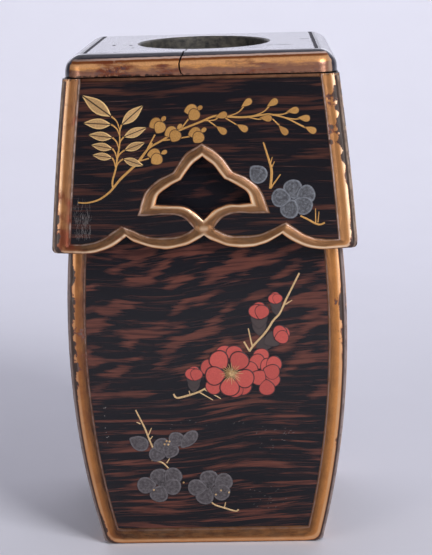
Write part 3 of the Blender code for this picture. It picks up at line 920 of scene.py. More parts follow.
def distinct(points):
    """The points without those that repeat the one before."""
    kept = []
    for point in points:
        if not kept or (point - kept[-1]).length > 1e-3:
            kept.append(point)
    return kept


def fill(side, place, outline, opening, finish, spacing=3.0):
    """Triangles inside an outline and outside an opening, with points strewn between."""
    strewn = []
    for z in spaced(SKIRT_FOOT + spacing, SKIRT_TOP - spacing / 2, spacing):
        for x in spaced(-33.0, 33.0, spacing):
            point = Vector((x, z))
            clear = min((point - p).length for p in [*outline, *opening])
            if clear > spacing / 3 and is_inside(point, outline):
                if not opening or not is_inside(point, opening):
                    strewn.append(point)
    points = [*outline, *opening, *strewn]
    start = len(outline)
    edges = [(i, (i + 1) % start) for i in range(start)]
    edges += [(start + i, start + (i + 1) % len(opening)) for i in range(len(opening))]
    verts, _, faces, *_ = delaunay_2d_cdt(points, edges, [], 0, 1e-5)
    for face in faces:
        corners = [verts[i] for i in face]
        middle = sum(corners, Vector((0.0, 0.0))) / len(corners)
        if is_inside(middle, outline) and not (opening and is_inside(middle, opening)):
            side.face([place(corner) for corner in corners], finish)


print("fill ready")

# %% Draw the cover's side
COVER_WALL = 2.2
FILLET_RISE, FILLET_DEPTH = 0.25, 0.2


def panel_outline(foot, trefoil, heights, fillet):
    """Outline of the sunk panel between the cover's mouldings."""
    upper_foot = distinct(pair[1] for pair in foot)
    around = [pair[1] for pair in trefoil]
    touch = next(i for i, p in enumerate(around) if abs(p.y - CROSS_Z) < 0.01)
    outline = [p for p in upper_foot if p.x < 0.01 - CROSS_HALF]
    outline += around[len(around) - touch + 1:] + around[:touch]
    outline += [p for p in upper_foot if p.x > CROSS_HALF - 0.01]
    edge = [Vector((cover_form.half(z) - FRAME, z)) for z in heights[1:]]
    return outline + edge + fillet[::-1] + [p * FLIP for p in reversed(edge)]


def draw_cover_side():
    """The frame with its trefoil and scallops, the panel, and the wall behind."""
    side = FlatSide(cover_form, COVER_WALL, crossing=True)
    rail_low = SKIRT_TOP - TOP_RAIL
    heights = spaced(FOOT_INNER_Z, rail_low, ROW_STEP)
    above = heights + [rail_low + FILLET_RISE, SKIRT_TOP]
    foot, trefoil = foot_band(), trefoil_band()
    foot_edge = side.moulding(foot, GOLD)
    opening_edge = side.moulding(trefoil, GOLD, closed=True)
    side.posts(*foot[-1], above)
    reach = cover_form.half(SKIRT_TOP) - FRAME - FILLET_RISE
    fillet_low = [Vector((sign * reach, rail_low)) for sign in (-1, 1)]
    panel = panel_outline(foot, trefoil, heights, fillet_low)
    fill(side, lambda p: side.outer(p, PANEL_DEPTH), panel, [], LACQUER)

    # fillet under the board, let into the uprights at its ends
    rows = []
    for z, depth in ((rail_low, PANEL_DEPTH), (rail_low + FILLET_RISE, FILLET_DEPTH),
                     (SKIRT_TOP, FILLET_DEPTH)):
        end = cover_form.half(z) - FRAME
        rows.append([side.outer(Vector((x, z)), d)
                     for x, d in ((-end, PANEL_DEPTH), (-reach, depth),
                                  (reach, depth), (end, PANEL_DEPTH))])
    for low, high in zip(rows, rows[1:]):
        side.strip(low, high, FILLET)

    # edges of the wall, and its plain inner face
    lower = [pair[0] for pair in foot]
    opening = [pair[0] for pair in trefoil]
    behind = [side.inner(p) for p in lower]
    turn = CORNER_STEPS + 1
    side.strip(foot_edge[turn - 1:1 - turn], behind[turn - 1:1 - turn], INNER)
    for corner in (slice(turn), slice(-turn, None)):
        side.strip(foot_edge[corner], behind[corner], GOLD)
    side.strip(opening_edge, [side.inner(p) for p in opening], INNER, closed=True)
    top_fillet = [(Vector((sign * reach, SKIRT_TOP)), FILLET_DEPTH) for sign in (-1, 1)]
    rim = side.close_top(SKIRT_TOP, top_fillet)
    corner = [Vector((cover_form.half(z), z)) for z in above[1:-1]]
    outline = lower + corner + rim[::-1] + [p * FLIP for p in reversed(corner)]
    fill(side, side.inner, outline, opening, INNER, spacing=6.0)
    return side.finished("cover_side")


cover_side = draw_cover_side()
print(f"cover side: {len(cover_side.data.polygons)} faces")

# %% [markdown]
# ## Bending a side with nodes
# The bend is one node group, because everything on a side needs it: the side itself, and later
# the painted sprigs that lie on it. It takes a place drawn flat and gives the place on the bowed
# side, with the upright arris rounded. The tree round it stands four copies of the side up,
# merges them into one closed body and gives each face its finish.

# %% Making a tree and running it


RESULT, REALIZE = "NodeGroupOutput", "GeometryNodeRealizeInstances"
NAMED = "GeometryNodeInputNamedAttribute"
RANDOM = ("FunctionNodeRandomValue", {}, (2, 3, "Seed"))
STORE = ("GeometryNodeStoreNamedAttribute", {}, ("Geometry", "Name", "Value"))
MOVE = ("GeometryNodeSetPosition", {}, ("Geometry", "Position"))
PLACE_ON = ("GeometryNodeInstanceOnPoints", {}, ("Points", "Instance", "Rotation", "Scale"))
FINISH = ("GeometryNodeSetMaterial", {}, ("Geometry", "Material", "Selection"))


def new_tree(name, inputs, output="NodeSocketGeometry"):
    """A node tree with named inputs; returns it, what adds nodes to it, and its inputs."""
    tree = bpy.data.node_groups.new(name, "GeometryNodeTree")
    tree.interface.new_socket("Result", in_out="OUTPUT", socket_type=output)
    for label, kind in inputs.items():
        tree.interface.new_socket(label, in_out="INPUT", socket_type=f"NodeSocket{kind}")
    return tree, partial(add_node, tree), add_node(tree, "NodeGroupInput").outputs


def applied(piece, modifier):
    """The piece's mesh with the modifier applied; the modifier is removed."""
    bpy.context.view_layer.update()
    graph = bpy.context.evaluated_depsgraph_get()
    mesh = bpy.data.meshes.new_from_object(piece.evaluated_get(graph), depsgraph=graph,
                                           preserve_all_data_layers=True)
    piece.modifiers.remove(modifier)
    return mesh


def run_tree(source, tree, name, values):
    """Run a tree on an object, keep the result as a plain mesh and drop the source."""
    modifier = source.modifiers.new(tree.name, "NODES")
    modifier.node_group = tree
    for item in tree.interface.items_tree:
        if item.in_out == "INPUT" and item.name in values:
            modifier[item.identifier] = values[item.name]
    mesh = applied(source, modifier)
    mesh.name = name
    bpy.data.objects.remove(source)
    return in_scene(name, mesh)


FORM_INPUTS = dict.fromkeys(("Low", "High", "Low Half", "High Half", "Bulge", "Arris"), "Float")


def form_values(form):
    """A form's sizes in metres, by the names of the tree's inputs."""
    sizes = (form.low, form.high, form.low_half, form.high_half, form.bulge, ARRIS)
    return {label: size * MM for label, size in zip(FORM_INPUTS, sizes)}


print("inputs of a bend:", ", ".join(FORM_INPUTS))

# %% The bend


def bend_group():
    """The same bend as Taper.bend, as a node group."""
    tree, add, given = new_tree("bend to the side", {"Place": "Vector", **FORM_INPUTS},
                                "NodeSocketVector")
    place, low, high, low_half, high_half, bulge, arris, _ = given
    x, depth, z = add(SPLIT, place).outputs
    share = add(RANGE, z, low, high, clamp=False)
    straight = add(RANGE, z, low, high, low_half, high_half, clamp=False)
    swell = add(TIMES, add(TIMES, share, add(MINUS, 1.0, share)), 4.0)
    flat = add(MINUS, add(TIMES_PLUS, swell, bulge, straight), arris)
    width = add(MATH, x, operation="ABSOLUTE")
    over = add(HIGHER, add(MINUS, width, flat), 0.0)
    turn = add(TIMES, add(MATH, over, arris, operation="DIVIDE"), pi / 4)
    reach = add(MINUS, arris, depth)
    along = add(TIMES_PLUS, reach, add(MATH, turn, operation="SINE"), add(LOWER, width, flat))
    along = add(TIMES, along, add(MATH, x, operation="SIGN"))
    forward = add(TIMES_PLUS, reach, add(MATH, turn, operation="COSINE"), flat)
    add(RESULT, add(JOIN, along, add(TIMES, forward, -1.0), z))
    return tree


BEND = bend_group()
print(f"bend group has {len(BEND.nodes)} nodes")

# %% Standing four sides up


def bent(add, place, given):
    """Add the bend to a tree, fed from the tree's own inputs."""
    sizes = {label: given[label] for label in FORM_INPUTS}
    return add("GeometryNodeGroup", {"Place": place, **sizes}, node_tree=BEND)


def four_sides_tree():
    """Bend one side, stand it up four times, merge the four and give them their finishes."""
    tree, add, given = new_tree("four sides", {
        "Geometry": "Geometry", **FORM_INPUTS, "Sides": "Int", "Lacquer": "Material",
        "Gold": "Material", "Inner Coat": "Material", "Fillet": "Material"})
    place = add("GeometryNodeInputPosition")
    x, _, z = add(SPLIT, place).outputs
    flat = add(VECTOR, add(JOIN, x, z), {"Scale": 1 / (MM * UV_SIZE)}, operation="SCALE")
    mapped = add(STORE, given["Geometry"], "flat", flat, data_type="FLOAT2", domain="CORNER")
    side = add(MOVE, mapped, bent(add, place, given))
    spots = add("GeometryNodePoints", {"Count": given["Sides"]})
    index = add("GeometryNodeInputIndex")
    stood = add(PLACE_ON, spots, side, add(JOIN, {2: add(TIMES, index, pi / 2)}))
    numbered = add(STORE, stood, "side_number", index, data_type="FLOAT", domain="INSTANCE")
    body = add("GeometryNodeMergeByDistance", add(REALIZE, numbered),
               {"Distance": SAME_PLACE * MM})
    finish = add(NAMED, "finish", data_type="INT")
    for number, label in enumerate(("Lacquer", "Gold", "Inner Coat", "Fillet")):
        chosen = add("FunctionNodeCompare", {2: finish, 3: number}, data_type="INT",
                     operation="EQUAL")
        body = add(FINISH, body, given[label], {"Selection": chosen})
    add(RESULT, body)
    return tree


FOUR_SIDES = four_sides_tree()
print(f"the tree of four sides has {len(FOUR_SIDES.nodes)} nodes")

# %% The case and the cover's sides


def smooth(piece, sharp_above=30.0):
    """Outward faces, smooth shading, and edges kept sharp above an angle."""
    working = bmesh.new()
    working.from_mesh(piece.data)
    bmesh.ops.recalc_face_normals(working, faces=working.faces)
    open_edges = sum(not edge.is_manifold for edge in working.edges)
    working.to_mesh(piece.data)
    working.free()
    piece.data.shade_smooth()
    piece.data.set_sharp_from_angle(angle=radians(sharp_above))
    return open_edges


def stand_up(side, form, lacquer, gold, name):
    """Four copies of a side as one closed piece."""
    values = {**form_values(form), "Sides": 4, "Lacquer": lacquer, "Gold": gold,
              "Inner Coat": inner_coat, "Fillet": fillet_coat}
    piece = run_tree(side, FOUR_SIDES, name, values)
    print(f"{name}: {len(piece.data.polygons)} faces, {smooth(piece)} open edges")
    return piece


case = stand_up(case_side, case_form, case_lacquer, case_gold, "case")
cover_sides = stand_up(cover_side, cover_form, cover_lacquer, cover_gold, "cover_sides")


def round_lower_corners(piece, form, pull=0.6):
    """Round a form's lower corners in the other direction too, as if turned."""
    for vert in piece.data.vertices:
        x, y, z = vert.co / MM
        rise = z - form.low
        if rise < CORNER_ROUND:
            cut = CORNER_ROUND - sqrt(max(rise * (2 * CORNER_ROUND - rise), 0.0))
            half = form.half(z)
            for axis, along, other in ((0, x, y), (1, y, x)):
                near = min(max((abs(other) - half + CORNER_RUN) / CORNER_ROUND, 0.0), 1.0)
                kept = min(abs(along), half - pull * cut * near)
                vert.co[axis] = copysign(kept, along) * MM
    piece.data.update()


round_lower_corners(cover_sides, cover_form)

# %% [markdown]
# ## The cover's board
# The board is one thick slab with a rolled edge and an oval hole. It is rings of points, the same
# number in each, laid from the hole's wall over the top and down the roll to the underside.

# %% Rings of the board
BOARD_ROUND = 4.2  # radius of the board's rounded upper edge
BOARD_CORNER = 4.6  # radius of the board's corners, seen from above
HOLE_HALF_X, HOLE_HALF_Y = 15.7, 20.5
HOLE_ROUND = 0.6
HOLE_STEPS, EDGE_STEPS = 5, 20
EDGE_FOOT = 0.45  # mm of upright edge below the last ring
BOARD_STEPS = 44
TOP, EDGE, UNDER, HOLE_WALL = range(4)


def board_ring(half, corner, z):
    """Points round a square with rounded corners, the same number at any size."""
    flat = half - corner
    xs = [-half + corner * step / CORNER_STEPS for step in range(CORNER_STEPS)]
    xs += [-flat + 2 * flat * step / BOARD_STEPS for step in range(BOARD_STEPS + 1)]
    xs += [half - corner * step / CORNER_STEPS for step in range(CORNER_STEPS - 1, 0, -1)]
    front = []
    for x in xs:
        turn = max(abs(x) - flat, 0.0) / corner * pi / 4
        front.append(Vector((copysign(min(abs(x), flat) + corner * sin(turn), x),
                             -flat - corner * cos(turn), z)))
    return [Matrix.Rotation(side * pi / 2, 3, "Z") @ point for side in range(4) for point in front]


def hole_ring(around, grown, z):
    """Points of the oval hole, each in the direction of a point of the board's edge."""
    ring = []
    for point in around:
        reach = hypot(point.x, point.y)
        c, s = point.x / reach, point.y / reach
        a, b = HOLE_HALF_X + grown, HOLE_HALF_Y + grown
        radius = a * b / hypot(b * c, a * s)
        ring.append(Vector((radius * c, radius * s, z)))
    return ring


def draw_board():
    """The board's rings, each with the finish of the faces that follow it."""
    around = board_ring(BOARD_HALF, BOARD_CORNER, BOARD_LOW)
    rise = (HEIGHT - HOLE_ROUND - BOARD_LOW) / HOLE_STEPS
    rings = [(hole_ring(around, 0.0, BOARD_LOW + rise * i), HOLE_WALL) for i in range(HOLE_STEPS)]
    for step in range(HOLE_STEPS + 1):
        angle = pi / 2 * step / HOLE_STEPS
        rings.append((hole_ring(around, HOLE_ROUND * (1 - cos(angle)),
                                HEIGHT - HOLE_ROUND * (1 - sin(angle))), HOLE_WALL))
    mouth = rings[-1][0]
    rim = board_ring(BOARD_HALF - BOARD_ROUND, BOARD_CORNER - BOARD_ROUND, HEIGHT)
    for share in (0.0, 0.35, 0.7):
        rings.append(([p.lerp(q, share) for p, q in zip(mouth, rim)], TOP))
    for step in range(EDGE_STEPS + 1):
        angle = pi / 2 * step / EDGE_STEPS
        inset = BOARD_ROUND * (1 - sin(angle))
        rings.append((board_ring(BOARD_HALF - inset, BOARD_CORNER - inset,
                                 HEIGHT - BOARD_ROUND * (1 - cos(angle))), EDGE))
    return rings + [(board_ring(BOARD_HALF, BOARD_CORNER, BOARD_LOW + EDGE_FOOT), EDGE),
                    (around, UNDER)]


rings = draw_board()
print(f"{len(rings)} rings of {len(rings[0][0])} points")

# %% [markdown]
# The board has split with age. A crack runs from the hole's near rim over the roll to the seam.
# A Boolean cuts it with a thin crooked sheet, so that it is a real gap with dark walls. The cut
# makes new points, so how far down the roll each point lies is measured after it: from 0 at the
# top to 1 where the edge stands upright.

# %% Build the board


def make_board(rings):
    """The whole board, closed from ring to ring."""
    working = bmesh.new()
    working.verts.layers.float.new("across")
    rows = [[working.verts.new(point * MM) for point in ring] for ring, _ in rings]
    for i, (row, (_, finish)) in enumerate(zip(rows, rings)):
        following = rows[(i + 1) % len(rows)]
        for j, vert in enumerate(row):
            k = (j + 1) % len(row)
            face = working.faces.new((vert, row[k], following[k], following[j]))
            face.material_index = finish
    bmesh.ops.remove_doubles(working, verts=working.verts, dist=SAME_PLACE * MM)
    return as_object(working, "cover_board", board_black, board_edge, inner_coat, rubbed_wood)


board = make_board(rings)
print(f"board before it splits: {len(board.data.polygons)} faces")

# %% Split it
# (y, x, half width) along the top, then (fall, drift) as the crack comes down the front
CRACK = ((-19.0, -3.3, 0.16), (-21.5, -3.5, 0.14), (-24.0, -3.2, 0.12), (-26.0, -3.6, 0.16),
         (-28.0, -3.9, 0.18), (-30.5, -3.9, 0.17), (-33.0, -3.9, 0.15))
CRACK_DRIFT = ((-1.0, 0.0), (0.4, 0.0), (1.2, -0.5), (2.5, -0.9), (3.7, -0.8), (4.6, -0.5),
               (5.1, 0.0), (7.0, 0.6))


def crack_cutter():
    """A crooked sheet through the board, from the hole out past its front."""
    working = bmesh.new()
    columns = []
    for y, x, half in CRACK:
        ring = [(Vector((x + drift - half, y, HEIGHT - fall)),
                 Vector((x + drift + half, y, HEIGHT - fall))) for fall, drift in CRACK_DRIFT]
        loop = [pair[0] for pair in ring] + [pair[1] for pair in reversed(ring)]
        columns.append([working.verts.new(point * MM) for point in loop])
    for first, second in zip(columns, columns[1:]):
        for j in range(len(first)):
            k = (j + 1) % len(first)
            working.faces.new((first[j], first[k], second[k], second[j]))
    working.faces.new(columns[0][::-1])
    working.faces.new(columns[-1])
    bmesh.ops.recalc_face_normals(working, faces=working.faces)
    for face in working.faces:
        face.material_index = UNDER
    return as_object(working, "crack_cutter", inner_coat, inner_coat, inner_coat)


def cut(piece, cutter):
    """Take the cutter out of the piece, and remove the cutter."""
    modifier = piece.modifiers.new("split", "BOOLEAN")
    modifier.object, modifier.operation, modifier.solver = cutter, "DIFFERENCE", "EXACT"
    piece.data = applied(piece, modifier)
    bpy.data.objects.remove(cutter)


def measure_fall(piece):
    """Give each point its share of the way down the rounded edge."""
    shares = []
    for vert in piece.data.vertices:
        fall = HEIGHT - vert.co.z / MM
        shares.append(acos(min(1 - fall / BOARD_ROUND, 1.0)) / (pi / 2) if fall < BOARD_ROUND
                      else 1 + 0.1 * (fall - BOARD_ROUND))
    piece.data.attributes["across"].data.foreach_set("value", shares)


cut(board, crack_cutter())
measure_fall(board)
print(f"board: {len(board.data.polygons)} faces, {smooth(board)} open edges")

# %% [markdown]
# ## Sprigs painted in relief
# The sprigs are sprinkled pictures: a petal is drawn in lacquer, dusted with powder, and stands a
# few hundredths of a millimetre proud, with a dark line left round it. One petal, leaf, berry or
# bud is modelled as a low closed cushion. A node tree sets it out on points, each with a turn and
# a size, and the bend lays it on the panel.

# %% Low cushions to paint with
CUSHION_RINGS = ((1.0, 0.2), (1.0, -0.8), (0.93, -0.92), (0.7, -0.97), (0.4, -1.0))


def cushion(name, outline, middle=0.0, count=24):
    """A closed cushion 1 high. It keeps the share from its middle and its own two axes."""
    working = bmesh.new()
    layers = [working.verts.layers.float.new(label)
              for label in ("from_middle", "crosswise", "lengthwise")]

    def vert(x, y, z, share):
        made = working.verts.new((x, y, z))
        for layer, value in zip(layers, (share, x, z)):
            made[layer] = value
        return made

    edge = [outline(2 * pi * i / count) for i in range(count)]
    rings = [[vert(x * share, y, middle + (z - middle) * share, share) for x, z in edge]
             for share, y in CUSHION_RINGS]
    for low, high in zip(rings, rings[1:]):
        for i in range(count):
            j = (i + 1) % count
            working.faces.new((low[i], low[j], high[j], high[i]))
    for ring, y in ((rings[0], 0.2), (rings[-1], -1.0)):
        hub = vert(0.0, y, middle, 0.0 if y < 0 else 1.0)
        for i in range(count):
            working.faces.new((ring[i], ring[(i + 1) % count], hub))
    bmesh.ops.recalc_face_normals(working, faces=working.faces)
    made = as_object(working, name)
    made.data.shade_smooth()
    return made


def petal_outline(angle):
    """Round and broad at the tip, drawn to a blunt point at the flower's middle."""
    point = 0.22 * exp(-((angle - pi) / 0.45) ** 2)
    return 1.08 * sin(angle) * (1 + 0.08 * cos(angle)), cos(angle) * (1 + point)


def leaf_outline(angle):
    """Broad in the middle, pointed at both ends."""
    along = (1 - cos(angle)) / 2
    return copysign(0.5 * abs(sin(pi * along ** 0.85)) ** 1.15, sin(angle)), along


def drop_outline(angle):
    """A bud: narrow where it is joined, round at its tip."""
    along = (1 - cos(angle)) / 2
    return sin(angle) * 0.62 * along ** 0.75, along


PETAL = cushion("petal", petal_outline)
LEAF = cushion("leaf", leaf_outline, middle=0.5)
DROP = cushion("drop", drop_outline, middle=0.6)
SLIVER = cushion("sliver", lambda angle: (0.5 * sin(angle), 0.5 - 0.5 * cos(angle)),
                 middle=0.5, count=8)
print("cushions of", ", ".join(f"{len(o.data.polygons)}" for o in (PETAL, LEAF, SLIVER)), "faces")

# %% Setting cushions out on a side


def set_out_tree():
    """Cushions on points, turned and sized by the points' attributes."""
    tree, add, given = new_tree("set out on a side", {
        "Geometry": "Geometry", "Cushion": "Object", **FORM_INPUTS, "Depth": "Float",
        "Material": "Material", "Seed": "Int"})
    shape = add("GeometryNodeObjectInfo", given["Cushion"])
    turn, size = add(NAMED, "turn"), add(NAMED, "size", data_type="FLOAT_VECTOR")
    placed = add(PLACE_ON, given["Geometry"], shape.outputs["Geometry"], add(JOIN, {1: turn}),
                 size)
    tone = add(RANDOM, 0.0, 1.0, given["Seed"])
    toned = add(STORE, placed, "tone", tone, data_type="FLOAT", domain="INSTANCE")
    laid = lay_down(add, add(REALIZE, toned), given)
    add(RESULT, add(FINISH, laid, given["Material"]))
    return tree


def lay_down(add, geometry, given):
    """Lower what was made to the panel and bend it with the side."""
    lowered = add(VECTOR, add("GeometryNodeInputPosition"), add(JOIN, {1: given["Depth"]}),
                  operation="ADD")
    return add(MOVE, geometry, bent(add, lowered, given))


SET_OUT = set_out_tree()


def side_values(form, material, **more):
    """The values that every tree on a side is given, and some more."""
    return {**form_values(form), "Depth": PANEL_DEPTH * MM, "Material": material, **more}


def flat_object(name, places, edges=(), faces=()):
    """An object of places on the flat side, in mm, with their edges or faces."""
    mesh = bpy.data.meshes.new(name)
    mesh.from_pydata([(x * MM, 0.0, z * MM) for x, z, *_ in places], edges, faces)
    return in_scene(name + "_flat", mesh)


def set_out(name, shape, spots, form, material, seed):
    """Lay cushions at spots: (x, z, turn, half width, length, height) in mm."""
    points = flat_object(name, spots)
    turns = points.data.attributes.new("turn", "FLOAT", "POINT")
    turns.data.foreach_set("value", [turn for _, _, turn, *_ in spots])
    sizes = points.data.attributes.new("size", "FLOAT_VECTOR", "POINT")
    for size, (*_, breadth, length, height) in zip(sizes.data, spots):
        size.vector = (breadth * MM, height * MM, length * MM)
    return run_tree(points, SET_OUT, name, side_values(form, material, Cushion=shape, Seed=seed))


print("set-out tree has", len(SET_OUT.nodes), "nodes")

# %% [markdown]
# A twig or a stem is one stroke of a brush that is pressed and lifted, so its width changes along
# it. Its middle line is a few points with a width each. The tree runs a smooth curve through
# them, sweeps a round section that follows the width, and flattens it to a low ridge.

# %% Brush strokes
STROKE_STEP = 0.3  # mm along a stroke
STROKE_RISE = 0.3  # height of a stroke, as a share of its half width


def stroke_tree():
    """Smooth ridges along lines, as wide as the lines' points say."""
    tree, add, given = new_tree("brush strokes", {
        "Geometry": "Geometry", **FORM_INPUTS, "Depth": "Float", "Step": "Float",
        "Rise": "Float", "Material": "Material"})
    line = add("GeometryNodeMeshToCurve", given["Geometry"])
    line = add("GeometryNodeCurveSplineType", line, spline_type="CATMULL_ROM")
    line = add("GeometryNodeResampleCurve", line, {"Length": given["Step"]}, mode="LENGTH")
    width = add(NAMED, "half_width")
    section = add("GeometryNodeCurvePrimitiveCircle", {"Resolution": 10, "Radius": 1.0})
    swept = add("GeometryNodeCurveToMesh",
                {"Curve": line, "Profile Curve": section, "Scale": width, "Fill Caps": True})
    x, y, z = add(SPLIT, add("GeometryNodeInputPosition")).outputs
    ridge = add(MOVE, swept, add(JOIN, x, add(TIMES, y, given["Rise"]), z))
    shaded = add("GeometryNodeSetShadeSmooth", lay_down(add, ridge, given))
    add(RESULT, add(FINISH, add(REALIZE, shaded), given["Material"]))
    return tree


STROKES = stroke_tree()


def strokes(name, lines, form, material):
    """Brush strokes: each line is (half width at start, middle, end), then its points in mm."""
    places, edges, widths = [], [], []
    for (start, middle, end), *points in lines:
        first, last = len(places), len(points) - 1
        for i, (x, z) in enumerate(points):
            share = i / last
            near = (start + (middle - start) * share * 2 if share < 0.5
                    else middle + (end - middle) * (share * 2 - 1))
            places.append((x, z))
            widths.append(near * MM)
        edges += [(first + i, first + i + 1) for i in range(last)]
    source = flat_object(name, places, edges)
    source.data.attributes.new("half_width", "FLOAT", "POINT").data.foreach_set("value", widths)
    return run_tree(source, STROKES, name, side_values(
        form, material, Step=STROKE_STEP * MM, Rise=STROKE_RISE))


print("stroke tree has", len(STROKES.nodes), "nodes")

# %% [markdown]
# ## Paints for the sprigs
# The golds are powder in lacquer again, in three tones: pale for twigs, orange for berries and
# dull for leaves. The red is flat vermilion-like lacquer. The grey petals were silver powder,
# which has tarnished to a slate with fine engraved lines. A dark line is left round a berry or a
# petal, and a leaf has a pale one, with a dark rib down its middle.

# %% Gold, red and tarnished silver


def sprinkled(name, light, dark, line, metallic, roughness, rim=0.9, rib=None, rib_line=None):
    """Powdered lacquer: tone differs from form to form, with a line at the rim."""
    material, add, shader = new_finish(name, light, roughness, metallic)
    powder = add(NOISE, in_millimetres(add), 1 / GRAIN_SIZE, 3.0)
    tone = add(ATTRIBUTE, attribute_name="tone").outputs["Fac"]
    mixed = add(RANGE, add(TIMES_PLUS, tone, 0.35, powder), 0.4, 0.9)
    middle = add(ATTRIBUTE, attribute_name="from_middle").outputs["Fac"]
    colour = laid_over(add, light, (mixed, dark), (add(RANGE, middle, rim, rim + 0.05), line))
    if rib:
        cross = add(ATTRIBUTE, attribute_name="crosswise").outputs["Fac"]
        off = add(MATH, cross, operation="ABSOLUTE")
        vein = add(RANGE, off, rib * 0.6, rib, 1.0, 0.0)
        colour = add(BLEND, vein, colour, rib_line)
    bump = add(BUMP, 0.3, 0.03 * MM, powder)
    finish_inputs(shader, Base_Color=colour, Normal=bump)
    return material


def tarnished_silver(name, dark, light, drawn):
    """Slate-grey silver powder with faint lines that fan and arch across each petal."""
    material, add, shader = new_finish(name, light, 0.42, 0.3)
    cross, length, middle = (add(ATTRIBUTE, attribute_name=label).outputs["Fac"]
                             for label in ("crosswise", "lengthwise", "from_middle"))
    fan = add(MATH, cross, add(PLUS, length, 1.15), operation="ARCTAN2")
    rays = add(MATH, add(TIMES, fan, 17.0), operation="SINE")
    arches = add(MATH, add(TIMES, middle, 15.0), operation="SINE")
    powder = add(NOISE, in_millimetres(add), 1.6, 4.0)
    lines = add(TIMES, add(HIGHER, rays, arches), powder)
    mottled = add(RANGE, powder, 0.35, 0.65)
    line = add(RANGE, lines, 0.35, 0.65, 0.0, 0.35)
    rim = add(TIMES, stripe(add, middle, 0.84, 0.9, 0.06), 0.4)
    edge = add(RANGE, middle, 0.96, 1.0)
    colour = laid_over(add, dark, (mottled, light), (line, drawn), (rim, drawn), (edge, "37333a"))
    finish_inputs(shader, Base_Color=colour)
    return material


pale_gold = sprinkled("pale gold powder of the twigs", "dcbc8c", "b58c58", "7a5532",
                      0.35, 0.4, rim=1.1)
orange_gold = sprinkled("orange gold powder of the berries", "cf9d58", "b07f42", "4a2e1c",
                        0.4, 0.4, rim=0.86)
dull_gold = sprinkled("dull gold powder of the leaves", "dcb27a", "b08c5e", "e4be80",
                      0.4, 0.42, rim=0.8, rib=0.06, rib_line="3a2a1e")
red_lacquer = sprinkled("coral red lacquer", "c4554b", "ad4840", "3c1d20", 0.0, 0.4, rim=0.86)
calyx_lacquer = sprinkled("brown-black lacquer of the calyces", "453a38", "3a302f", "2a2224",
                          0.0, 0.45)
case_silver = tarnished_silver("tarnished silver powder on the case", "484345", "625d5f", "807c7e")
cover_silver = tarnished_silver("tarnished silver powder on the cover", "46464a", "66686c",
                                "949aa2")
bright_scratch = sprinkled("bare bright scratch", "77726f", "4f4a4c", "77726f", 0.0, 0.6, rim=1.1)
print("eight paints mixed")

# %% [markdown]
# ## Nandina on the cover
# A long stem rises from the lower left. It carries a frond of leaves, then heart-shaped berries,
# then small buds to the right. Leaves go from where they join the stem to their tips.

# %% Where the nandina grows
NANDINA_STEM = ((-28.9, 86.4), (-26.8, 86.3), (-24, 87), (-21.4, 88.8), (-19.2, 91.3),
                (-16.8, 93.5), (-15.4, 94.7), (-14.2, 96), (-13, 97.6), (-11.4, 99.7))
NANDINA_TOP = ((-15.4, 94.7), (-12.4, 98.3), (-9.2, 100.2), (-5.6, 102.2), (-0.3, 104.2),
               (3.2, 105.5), (7.1, 105.2), (10.1, 105.1), (14, 105.5), (15.8, 105.6),
               (19.3, 104.7), (22.7, 103), (25.2, 101.8))
FROND = ((-20.7, 89.4), (-20.8, 91.1), (-20, 93.8), (-19.5, 96.6), (-18.9, 99.6), (-18.8, 103))
LEAVES = (((-20.6, 105.9), (-27.4, 111.0)), ((-20.7, 104.1), (-27.3, 104.6)),
          ((-20.5, 101.1), (-26.2, 101.9)), ((-20.6, 98.6), (-25.6, 99.6)),
          ((-20.7, 96.5), (-25.4, 97.3)), ((-18.3, 104.0), (-13.1, 108.4)),
          ((-17.9, 101.2), (-12.4, 103.3)), ((-17.8, 98.2), (-12.9, 99.9)),
          ((-18.2, 96.2), (-13.4, 94.5)))
BERRIES = (((-10, 103.7), (-8.4, 105.4)), ((-6.5, 101.7), (-4.7, 103.6)),
           ((-1.9, 106.5), (0, 107.6)), ((-1.1, 101.3), (0.8, 102.6)),
           ((-10.7, 96.6), (-8.3, 97.7)))
BUDS = ((4.3, 105.5), (4.3, 102.5), (9.1, 102.9), (14.5, 104.8), (10.2, 108.1),
        (16.1, 108), (20.7, 106.3), (23.2, 104.6), (18.5, 102.2), (24.7, 102.1))
BUD_JOINS = ((0.6, 104.5), (1.4, 104.6), (4.9, 105.4), (10.6, 105.1), (6.0, 105.3),
             (11.4, 105.2), (15.4, 105.6), (18.3, 105.0), (15.2, 105.6), (20.9, 103.9))
print(len(LEAVES), "leaves,", len(BERRIES), "berries and", len(BUDS), "buds")

# %% Paint the nandina


def toward(start, end):
    """Turn of the line from start to end, from straight up, to the right."""
    return atan2(end[0] - start[0], end[1] - start[1])


def petiole(base):
    """A leaf's stalk: it leaves the frond's stem below the leaf and curves out to its base."""
    low = min(base[1] - 2.6, FROND[-1][1] - 0.1)
    below, above = next((p, q) for p, q in zip(FROND, FROND[1:]) if q[1] >= low)
    share = (low - below[1]) / (above[1] - below[1])
    join = (below[0] + (above[0] - below[0]) * share, low)
    bend = (join[0] + (base[0] - join[0]) * 0.35, join[1] + (base[1] - join[1]) * 0.62)
    return (0.1, 0.15, 0.2), join, bend, base


def between_points(start, end, breadth, height):
    """A cushion laid from start to end; breadth is its half width as a share of its length."""
    length = hypot(end[0] - start[0], end[1] - start[1])
    return (*start, toward(start, end), breadth * length, length, height)


def lobes(middle, tip):
    """A heart-shaped berry: two round lobes side by side, and a small round tip on a stalk."""
    turn = toward(middle, tip)
    aside = (0.66 * cos(turn), -0.66 * sin(turn))
    return [(middle[0] - aside[0], middle[1] - aside[1], turn + 0.3, 1.25, 1.5, 0.12),
            (middle[0] + aside[0], middle[1] + aside[1], turn - 0.2, 1.35, 1.4, 0.17),
            (middle[0] + (tip[0] - middle[0]) * 0.85, middle[1] + (tip[1] - middle[1]) * 0.85,
             turn, 0.5, 0.75, 0.1)]


